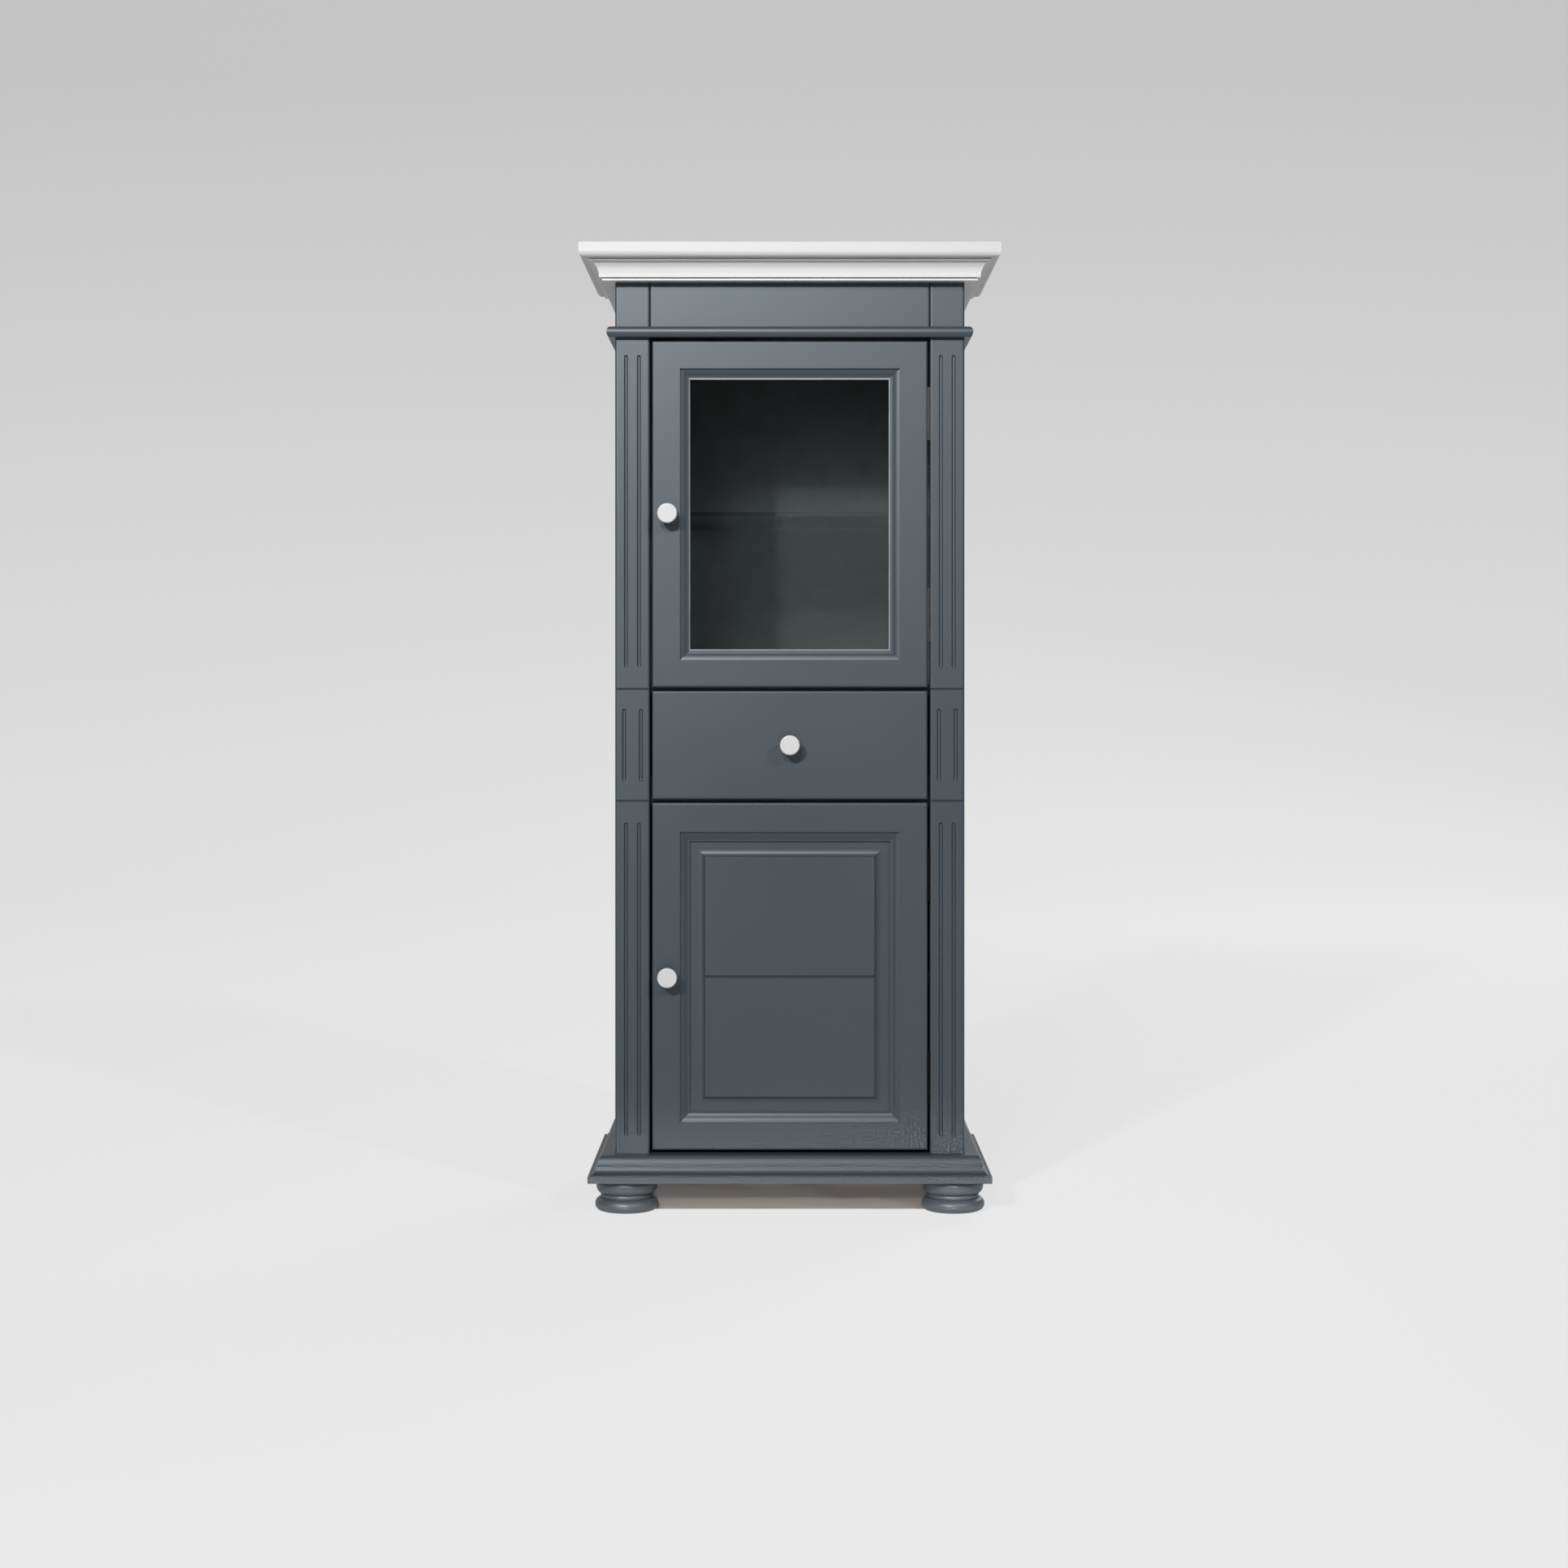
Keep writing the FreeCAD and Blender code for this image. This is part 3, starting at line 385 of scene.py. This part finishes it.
@dataclass(frozen=True)
class Steel:
    """Drawn steel with fine lines along its length, darkened below a height where one is given as painted
    shade.
    """

    name: str
    colour: Colour
    roughness: float
    grain: Grain = Grain.UPRIGHT
    shade_painted_below: float = 0.0
    shade_painted_share: float = 0.16
    shade_painted_fade: float = 0.01

    def material(self) -> bpy.types.Material:
        """Make the steel's material.

        Returns:
            The material.
        """
        graph = Graph(self.name)
        lines = graph.noise(1.0, 3.0, graph.stretched(self.grain.stretch(30.0, 2600.0)))
        stain = graph.noise(60.0, 3.0)
        body = graph.ramp(stain, [(0.3, shade(self.colour, 0.88)), (0.7, shade(self.colour, 1.06))])
        # Below the given height the colour drops to a small share: painted shade that keeps the lower hinges
        # dark in their gap.
        edge = (self.shade_painted_below - self.shade_painted_fade, self.shade_painted_below)
        shade_factor = graph.mapped(graph.along("Z"), edge, (self.shade_painted_share, 1.0))
        graph.join(graph.tinted(body, shade_factor), "Base Color")
        graph.join(graph.ranged(lines, self.roughness - 0.07, self.roughness + 0.09), "Roughness")
        graph.set(Metallic=1.0)
        graph.bumped((lines, 0.12, 0.0001))
        return graph.material


@dataclass(frozen=True)
class Moulded:
    """Moulded plastic with a fine spark-eroded grain."""

    name: str
    colour: Colour
    roughness: float = 0.45

    def material(self) -> bpy.types.Material:
        """Make the plastic's material.

        Returns:
            The material.
        """
        graph = Graph(self.name)
        spark = graph.noise(1500.0, 2.0)
        sheen = graph.noise(45.0, 2.0)
        body = graph.ramp(sheen, [(0.3, shade(self.colour, 0.9)), (0.7, shade(self.colour, 1.12))])
        graph.join(body, "Base Color")
        graph.join(graph.ranged(sheen, self.roughness - 0.05, self.roughness + 0.05), "Roughness")
        graph.bumped((spark, 0.15, 0.0001))
        return graph.material


@dataclass(frozen=True)
class Glass:
    """Clear float glass that lets the lamps shine through, with faint smears on it."""

    name: str
    colour: Colour
    lamp_tint: Colour = (0.76, 0.77, 0.77)
    roughness: float = 0.01

    def material(self) -> bpy.types.Material:
        """Make the glass's material.

        Returns:
            The material.
        """
        graph = Graph(self.name)
        smear = graph.noise(6.0, 4.0)
        graph.join(graph.ranged(smear, 0.0, self.roughness * 2), "Roughness")
        graph.set(Base_Color=(*self.colour, 1.0), Transmission_Weight=1.0, IOR=1.5)
        path = graph.nodes.new("ShaderNodeLightPath")
        clear = graph.nodes.new("ShaderNodeBsdfTransparent")
        clear.inputs["Color"].default_value = (*self.lamp_tint, 1.0)
        graph.mixed(path.outputs["Is Shadow Ray"], clear.outputs["BSDF"])
        return graph.material


Finish = Paint | Timber | Fibreboard | Steel | Moulded | Glass

GREY = (0.032, 0.0435, 0.053)
WHITE = (0.625, 0.625, 0.623)
SHEEN = (0.86, 0.95, 1.0)
GREY_UPRIGHT = Paint("grey_paint_upright", GREY, 0.42, specular=1.0, tint=SHEEN)
GREY_ACROSS = Paint("grey_paint_across", GREY, 0.42, grain=Grain.ACROSS, specular=1.0, tint=SHEEN)
GREY_DEEP = Paint("grey_paint_deep", GREY, 0.42, grain=Grain.DEEP, specular=1.0, tint=SHEEN)
GREY_BACK = Fibreboard("grey_painted_back", (0.042, 0.047, 0.049))
GREY_PLINTH = Paint("grey_paint_plinth", GREY, 0.44, grain=Grain.ACROSS, specular=0.78, tint=SHEEN)
# Lighter copy of the grey paint on the feet: painted light for the bounce off the floor, with heavy clouding
# and peel for their rugged paint.
GREY_FOOT_LIT = Paint("grey_paint_foot", (0.075, 0.085, 0.093), 0.44, clouding=0.22, peel=0.09, specular=1.0,
                  tint=SHEEN)
# Lit and shaded copies of the white paint: the top board is painted darker, and the crown's front and
# returns are painted lighter, as painted light and shade.
WHITE_TOP_SHADED = Paint("white_paint_top", shade(WHITE, 0.95), 0.38, clouding=0.012, grain=Grain.ACROSS)
WHITE_ACROSS_LIT = Paint("white_paint_across", shade(WHITE, 1.08), 0.38, clouding=0.012, grain=Grain.ACROSS)
WHITE_DEEP_LIT = Paint("white_paint_deep", shade(WHITE, 1.12), 0.38, clouding=0.012, grain=Grain.DEEP)
WHITE_KNOB = Paint("white_paint_knob", WHITE, 0.34, clouding=0.01, grain=Grain.DEEP)
PINE_DEEP = Timber("pine_deep", (0.56, 0.40, 0.24), (0.42, 0.25, 0.12), Grain.DEEP)
PINE_ACROSS = Timber("pine_across", (0.56, 0.40, 0.24), (0.42, 0.25, 0.12), Grain.ACROSS)
# The runners' near-black tone is painted shade, so their ends seen through the drawer's gaps read black.
RUNNER_WOOD_SHADED = Timber("runner_wood_painted_shade", (0.07, 0.05, 0.035), (0.05, 0.033, 0.022), Grain.DEEP)
KICK_WOOD = Timber("kick_wood", (0.21, 0.185, 0.168), (0.155, 0.134, 0.12), Grain.ACROSS, 0.6)
CLEAR = Glass("clear_glass", (0.93, 0.97, 0.955))
PLAIN_STEEL = Steel("plain_steel", (0.22, 0.22, 0.22), 0.42)
PIN_STEEL = Steel("pin_steel", (0.62, 0.62, 0.61), 0.24)
# The hinges' darker colour below 0.7 m is painted shade.
HINGE_STEEL = Steel("hinge_steel", (0.085, 0.085, 0.085), 0.45, shade_painted_below=0.7)
# Near-black bars of the cross recesses: painted shade in the hollows of the heads.
RECESS_SHADE = Steel("recess_painted_shade", (0.02, 0.02, 0.02), 0.6)
CATCH_PLASTIC = Moulded("catch_plastic", (0.030, 0.030, 0.032))
# Pale strips on the glazing lip: a painted highlight.
LIP_HIGHLIGHT = Moulded("lip_painted_highlight", (0.30, 0.30, 0.305), 0.40)


class Wardrobe:
    """Keeps one material for each finish."""

    made: dict[str, bpy.types.Material] = {}

    @classmethod
    def of(cls, finish: Finish) -> bpy.types.Material:
        """Material of a finish, made on first use.

        Args:
            finish: the finish.

        Returns:
            The material.
        """
        if finish.name not in cls.made:
            cls.made[finish.name] = finish.material()
        return cls.made[finish.name]


Block = tuple[Point, Point]


def mesh_of_blocks(name: str, blocks: list[Block]) -> bpy.types.Object:
    """One object of separate upright blocks.

    Args:
        name: name of the object.
        blocks: lowest and highest corner of each block, in metres.

    Returns:
        The new object.
    """
    sides = ((0, 1, 3, 2), (4, 6, 7, 5), (0, 4, 5, 1), (2, 3, 7, 6), (0, 2, 6, 4), (1, 5, 7, 3))
    vertices: list[Point] = []
    faces: list[tuple[int, ...]] = []
    for low, high in blocks:
        first = len(vertices)
        vertices += [(x, y, z) for x in (low[0], high[0]) for y in (low[1], high[1])
                     for z in (low[2], high[2])]
        faces += [tuple(first + corner for corner in side) for side in sides]
    mesh = bpy.data.meshes.new(name)
    mesh.from_pydata(vertices, [], faces)
    obj = bpy.data.objects.new(name, mesh)
    bpy.context.collection.objects.link(obj)
    return obj


class Facing(Enum):
    """Way that a screw's head looks, as the axis and the sign along it."""

    BACK = (1, 1)
    LEFT = (0, -1)
    RIGHT = (0, 1)


@dataclass(frozen=True)
class Recess:
    """Cross recess in a screw's head, drawn as near-black bars: painted shade for its hollow."""

    length: float = 0.0032
    width: float = 0.0008
    proud: float = 0.0001
    depth: float = 0.0004

    def blocks(self, centre: Point, facing: Facing) -> list[Block]:
        """Two crossed bars in the face of a head.

        Args:
            centre: middle of the head's face.
            facing: way that the head looks.

        Returns:
            One block for each bar.
        """
        through, sign = facing.value
        bars = []
        for along in {0, 1, 2} - {through}:
            half = [self.length / 2 if axis == along else self.width / 2 for axis in range(3)]
            low = [centre[axis] - half[axis] for axis in range(3)]
            high = [centre[axis] + half[axis] for axis in range(3)]
            ends = (centre[through] - sign * self.depth, centre[through] + sign * self.proud)
            low[through], high[through] = min(ends), max(ends)
            bars.append((tuple(low), tuple(high)))
        return bars


SCREW_RECESS = Recess()
BOLT_RECESS = Recess(length=0.0050, width=0.0011)


@dataclass(frozen=True)
class HingeScrews:
    """Screws in the leaves of the two hinges of a door."""

    door: Span
    inset: float = 0.110
    spacing: float = 0.028
    middle: float = -0.144125
    door_edge: float = 0.2084
    frame_edge: float = 0.2116

    def recesses(self, facing: Facing) -> list[Block]:
        """Recesses of the screws in the door's leaves or in the frame's.

        Args:
            facing: RIGHT for the door's leaves, LEFT for the frame's.

        Returns:
            The blocks of all the recesses.
        """
        edge = self.door_edge if facing is Facing.RIGHT else self.frame_edge
        hinges = (self.door[0] + self.inset, self.door[1] - self.inset)
        heads = [(edge, self.middle, hinge + self.spacing * step) for hinge in hinges for step in (-1, 0, 1)]
        return [block for head in heads for block in SCREW_RECESS.blocks(head, facing)]


UPPER_HINGES = HingeScrews((0.7910, 1.3148))
LOWER_HINGES = HingeScrews((0.0916, 0.6171))


@dataclass
class SubAssembly:
    """A part of the cabinet whose CAD nodes get finishes, with small pieces of its own."""

    finishes: dict[str, Finish] = field(default_factory=dict)

    def dress(self) -> None:
        """Give each node its finish."""
        for node, finish in self.finishes.items():
            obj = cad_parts[node]
            obj.data.materials.clear()
            obj.data.materials.append(Wardrobe.of(finish))
            LOG.info("%s: %s", node, finish.name)

    def build(self) -> None:
        """Build the small pieces that the CAD leaves out; most sub-assemblies have none."""

    @staticmethod
    def bolt_recess(x: float, z: float) -> list[Block]:
        """Recess in the head of a knob's bolt, all heads lying as deep as the drawer's.

        Args:
            x: place of the knob across the front.
            z: height of the knob.

        Returns:
            The blocks of the recess.
        """
        return BOLT_RECESS.blocks((x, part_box("drawer_knob_bolt")[1][1], z), Facing.BACK)

    @staticmethod
    def add(name: str, body: str, slot: str, finish: Finish, blocks: list[Block]) -> None:
        """Build a piece of blocks and hand it to a body.

        Args:
            name: name of the piece.
            body: body that it moves with.
            slot: the record's material slot; not used.
            finish: its finish.
            blocks: lowest and highest corner of each block, in metres.
        """
        obj = mesh_of_blocks(name, blocks)
        obj.data.materials.append(Wardrobe.of(finish))
        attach(obj, body)
        LOG.info("%s: %d blocks on %s", name, len(blocks), body)


@dataclass
class Carcass(SubAssembly):
    """Panels, dividers, pilasters, frieze, shelves and back."""

    finishes: dict[str, Finish] = field(default_factory=lambda: {
        "side_panel_left": GREY_UPRIGHT,
        "side_panel_right": GREY_UPRIGHT,
        "pilaster_left": GREY_UPRIGHT,
        "pilaster_right": GREY_UPRIGHT,
        "frieze_board": GREY_ACROSS,
        "frieze_rail": GREY_ACROSS,
        "base_rail": GREY_ACROSS,
        "bottom_panel": GREY_ACROSS,
        "top_panel": GREY_ACROSS,
        "upper_divider": GREY_ACROSS,
        "lower_divider": GREY_ACROSS,
        "lower_shelf": GREY_ACROSS,
        "back_panel": GREY_BACK,
        "glass_shelf": CLEAR,
    })


@dataclass
class Head(SubAssembly):
    """Astragal, crown moulding and top board."""

    finishes: dict[str, Finish] = field(default_factory=lambda: {
        "astragal_front": GREY_ACROSS,
        "astragal_returns": GREY_DEEP,
        "crown_front": WHITE_ACROSS_LIT,
        "crown_returns": WHITE_DEEP_LIT,
        "top_board": WHITE_TOP_SHADED,
    })


@dataclass
class Base(SubAssembly):
    """Plinth moulding, base board, feet and kick board."""

    finishes: dict[str, Finish] = field(default_factory=lambda: {
        "base_board": GREY_ACROSS,
        "plinth_front": GREY_PLINTH,
        "plinth_returns": GREY_DEEP,
        "foot_front_left": GREY_FOOT_LIT,
        "foot_front_right": GREY_FOOT_LIT,
        "foot_back_left": GREY_FOOT_LIT,
        "foot_back_right": GREY_FOOT_LIT,
        "foot_studs": PLAIN_STEEL,
        "kick_board": KICK_WOOD,
    })


@dataclass
class UpperDoor(SubAssembly):
    """Glazed door."""

    finishes: dict[str, Finish] = field(default_factory=lambda: {
        "upper_door_stile_left": GREY_UPRIGHT,
        "upper_door_stile_right": GREY_UPRIGHT,
        "upper_door_rail_top": GREY_ACROSS,
        "upper_door_rail_bottom": GREY_ACROSS,
        "upper_door_moulding": GREY_UPRIGHT,
        "upper_door_glass": CLEAR,
        "upper_door_glazing_beads": GREY_UPRIGHT,
        "upper_door_knob": WHITE_KNOB,
        "upper_door_hinge_leaves": HINGE_STEEL,
        "upper_door_fixings": PIN_STEEL,
    })
    moulding_width: float = 0.0143
    highlight_width: float = 0.0017
    shaded_side_width: float = 0.0005
    highlight_depth: float = 0.0046
    knob_place: Span = (-0.1844, 1.0529)

    def build(self) -> None:
        """Build pale strips of painted highlight along the moulding's lip, narrow on the shaded left, and
        the screw and bolt recesses.
        """
        low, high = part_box("upper_door_glass")
        inner = [(low[axis] + self.moulding_width, high[axis] - self.moulding_width) for axis in (0, 2)]
        (left, right), (bottom, top) = inner
        back = low[1]
        front = back - self.highlight_depth
        width = self.highlight_width
        # Pale strips are a painted highlight along the lip; the left one is narrow, as painted shade on that
        # side.
        self.add("upper_door_lip_highlight", "upper_door", "white_paint", LIP_HIGHLIGHT, [
            ((left, front, bottom), (right, back, bottom + width)),
            ((left, front, top - width), (right, back, top)),
            ((left, front, bottom + width), (left + self.shaded_side_width, back, top - width)),
            ((right - width, front, bottom + width), (right, back, top - width)),
        ])
        self.add("upper_door_recesses", "upper_door", "steel", RECESS_SHADE,
                 UPPER_HINGES.recesses(Facing.RIGHT) + self.bolt_recess(*self.knob_place))


@dataclass
class LowerDoor(SubAssembly):
    """Panelled door."""

    finishes: dict[str, Finish] = field(default_factory=lambda: {
        "lower_door_stile_left": GREY_UPRIGHT,
        "lower_door_stile_right": GREY_UPRIGHT,
        "lower_door_rail_top": GREY_ACROSS,
        "lower_door_rail_bottom": GREY_ACROSS,
        "lower_door_moulding": GREY_UPRIGHT,
        "lower_door_panel": GREY_UPRIGHT,
        "lower_door_knob": WHITE_KNOB,
        "lower_door_hinge_leaves": HINGE_STEEL,
        "lower_door_fixings": PIN_STEEL,
    })
    knob_place: Span = (-0.1844, 0.35435)

    def build(self) -> None:
        """Build the recesses in the screws of the door's leaves and in the knob's bolt."""
        self.add("lower_door_recesses", "lower_door", "steel", RECESS_SHADE,
                 LOWER_HINGES.recesses(Facing.RIGHT) + self.bolt_recess(*self.knob_place))


@dataclass
class Drawer(SubAssembly):
    """Drawer with its runners."""

    finishes: dict[str, Finish] = field(default_factory=lambda: {
        "drawer_front": GREY_ACROSS,
        "drawer_side_left": PINE_DEEP,
        "drawer_side_right": PINE_DEEP,
        "drawer_back": PINE_ACROSS,
        "drawer_bottom": PINE_ACROSS,
        "drawer_knob": WHITE_KNOB,
        "drawer_knob_bolt": PIN_STEEL,
        "drawer_runners": RUNNER_WOOD_SHADED,
    })
    knob_place: Span = (0.0, 0.70405)

    def build(self) -> None:
        """Build the recess in the knob's bolt."""
        self.add("drawer_recess", "drawer", "steel", RECESS_SHADE, self.bolt_recess(*self.knob_place))


@dataclass
class Fittings(SubAssembly):
    """Hinges on the frame, catches, shelf pins and screws."""

    finishes: dict[str, Finish] = field(default_factory=lambda: {
        "hinge_frame_leaves": HINGE_STEEL,
        "hinge_pins": PIN_STEEL,
        "carcass_screws": PIN_STEEL,
        "shelf_pins": PIN_STEEL,
        "door_catches": CATCH_PLASTIC,
    })
    screw_x: float = 0.2505
    lowest_screw: float = 0.118
    screw_pitch: float = 0.314
    screw_count: int = 5

    def build(self) -> None:
        """Build the recesses in the screws of the frame's leaves and of the back."""
        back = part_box("back_panel")[1][1]
        heads = [(side * self.screw_x, back, self.lowest_screw + self.screw_pitch * number)
                 for side in (-1, 1) for number in range(self.screw_count)]
        blocks = [block for head in heads for block in SCREW_RECESS.blocks(head, Facing.BACK)]
        for hinges in (UPPER_HINGES, LOWER_HINGES):
            blocks += hinges.recesses(Facing.LEFT)
        self.add("carcass_recesses", "carcass", "steel", RECESS_SHADE, blocks)


@dataclass(frozen=True)
class Lamp:
    """A soft lamp that points at the cabinet, square unless it has a height of its own."""

    name: str
    place: Point
    target: Point
    side: float
    power: float
    spread: float = 180.0
    height: float | None = None

    def build(self) -> bpy.types.Object:
        """Make the lamp.

        Returns:
            The lamp's object.
        """
        data = bpy.data.lights.new(self.name, "AREA")
        data.shape = "RECTANGLE"
        data.size = self.side
        data.size_y = self.height or self.side
        data.energy = self.power
        data.spread = math.radians(self.spread)
        obj = bpy.data.objects.new(self.name, data)
        obj.location = self.place
        aim = Vector(self.target) - Vector(self.place)
        obj.rotation_euler = aim.to_track_quat("-Z", "Y").to_euler()
        obj.visible_transmission = False
        obj.visible_camera = False
        bpy.context.collection.objects.link(obj)
        return obj


@dataclass
class Studio:
    """Pale sweep of floor and backdrop, lamps, world and camera."""

    floor_front: float = -6.5
    floor_back: float = 6.0
    sweep_radius: float = 4.0
    sweep_steps: int = 32
    height: float = 9.0
    half_width: float = 12.0
    floor_colour: Colour = (0.68, 0.68, 0.68)
    wall_colour: Colour = (0.80, 0.80, 0.803)
    floor_glow: Colour = (0.97, 0.97, 0.97)
    wall_glow: Colour = (0.69, 0.69, 0.69)
    glow_share: float = 0.7
    mirrored_share: float = 0.0
    near_share: float = 0.6
    mirror_edge: float = -0.5
    mirror_fade: float = 0.1
    world_colour: Colour = (0.03, 0.0305, 0.0315)
    distance_colour: Colour = (0.74, 0.74, 0.74)
    lens: float = 62.3
    sensor: float = 36.0
    eye: Point = (-0.0088, -4.25425, 0.780)
    horizon_row: float = 856.0
    lamps: tuple[Lamp, ...] = (
        Lamp("key_lamp", (-3.3, -8.35, 4.6), (0.0, -0.15, 0.70), 0.45, 515.0),
        Lamp("second_lamp", (7.1, -9.55, 7.3), (0.0, -0.15, 0.70), 0.60, 480.0),
        Lamp("soft_lamp", (-0.9, -5.2, 3.5), (0.0, -0.15, 1.45), 0.7, 5.8, 40.0),
        Lamp("rear_lamp", (3.2, 6.0, 4.4), (0.0, 0.20, 0.75), 2.4, 140.0),
        Lamp("low_lamp", (-0.2, -4.0, 0.30), (0.0, -0.19, -0.09), 1.6, 0.6, 8.0, 0.06),
    )

    def sweep(self) -> bpy.types.Object:
        """Build the floor that curves up into the backdrop.

        Returns:
            The sweep's object.
        """
        profile = [(self.floor_front, 0.0), (self.floor_back, 0.0)]
        for step in range(1, self.sweep_steps + 1):
            angle = math.pi / 2 * step / self.sweep_steps
            profile.append((self.floor_back + self.sweep_radius * math.sin(angle),
                            self.sweep_radius * (1 - math.cos(angle))))
        profile.append((self.floor_back + self.sweep_radius, self.height))
        vertices = [(x, y, z) for y, z in profile for x in (-self.half_width, self.half_width)]
        faces = [(2 * row, 2 * row + 1, 2 * row + 3, 2 * row + 2) for row in range(len(profile) - 1)]
        mesh = bpy.data.meshes.new("sweep")
        mesh.from_pydata(vertices, [], faces)
        for polygon in mesh.polygons:
            polygon.use_smooth = True
        obj = bpy.data.objects.new("sweep", mesh)
        bpy.context.collection.objects.link(obj)
        obj.data.materials.append(self.sweep_material())
        return obj

    def sweep_material(self) -> bpy.types.Material:
        """Matt pale finish that goes from the floor's tone to the wall's.

        Returns:
            The material.
        """
        graph = Graph("pale_sweep")
        rise = graph.mapped(graph.along("Z"), (0.0, self.sweep_radius))
        graph.join(graph.ramp(rise, [(0.0, self.floor_colour), (1.0, self.wall_colour)]), "Base Color")
        graph.set(Roughness=0.9, Specular_IOR_Level=0.1)
        glow = graph.nodes.new("ShaderNodeEmission")
        shine = graph.ramp(rise, [(0.0, self.floor_glow), (1.0, self.wall_glow)])
        graph.links.new(shine, glow.inputs["Color"])
        path = graph.nodes.new("ShaderNodeLightPath")
        edge = (self.mirror_edge - self.mirror_fade, self.mirror_edge + self.mirror_fade)
        near = graph.mapped(graph.along("Y"), edge, (self.mirrored_share, self.near_share))
        mirrored = graph.maths("MULTIPLY", path.outputs["Is Glossy Ray"], near)
        seen = graph.maths("ADD", path.outputs["Is Camera Ray"], mirrored)
        seen = graph.maths("ADD", seen, path.outputs["Is Transmission Ray"])
        graph.mixed(graph.maths("MULTIPLY", seen, self.glow_share), glow.outputs["Emission"])
        return graph.material

    def world(self) -> None:
        """Set the even light of the room, and the pale distance that is seen past the floor."""
        world = bpy.data.worlds.new("room")
        world.use_nodes = True
        nodes, links = world.node_tree.nodes, world.node_tree.links
        nodes["Background"].inputs["Color"].default_value = (*self.world_colour, 1.0)
        distance = nodes.new("ShaderNodeBackground")
        distance.inputs["Color"].default_value = (*self.distance_colour, 1.0)
        path = nodes.new("ShaderNodeLightPath")
        mix = nodes.new("ShaderNodeMixShader")
        links.new(path.outputs["Is Camera Ray"], mix.inputs["Fac"])
        links.new(nodes["Background"].outputs["Background"], mix.inputs[1])
        links.new(distance.outputs["Background"], mix.inputs[2])
        links.new(mix.outputs["Shader"], nodes["World Output"].inputs["Surface"])
        bpy.context.scene.world = world

    def camera(self) -> None:
        """Set the level camera, its horizon shifted to where the photograph has it."""
        data = bpy.data.cameras.new("camera")
        data.lens = self.lens
        data.sensor_width = self.sensor
        data.sensor_fit = "HORIZONTAL"
        data.shift_y = (self.horizon_row - PHOTO_SIDE / 2) / PHOTO_SIDE
        obj = bpy.data.objects.new("camera", data)
        obj.location = self.eye
        obj.rotation_euler = (math.pi / 2, 0.0, 0.0)
        bpy.context.collection.objects.link(obj)
        bpy.context.scene.camera = obj

    def build(self) -> None:
        """Set up the whole studio."""
        self.sweep()
        for lamp in self.lamps:
            lamp.build()
        self.world()
        self.camera()
        bpy.context.scene.view_settings.view_transform = "Standard"


def main() -> None:
    """Dress the cabinet and set up the studio."""
    logging.basicConfig(level=logging.INFO, format="%(message)s")
    Studio().build()
    for assembly in (Carcass(), Head(), Base(), UpperDoor(), LowerDoor(), Drawer(), Fittings()):
        assembly.dress()
        assembly.build()


if __name__ == "__main__":
    main()
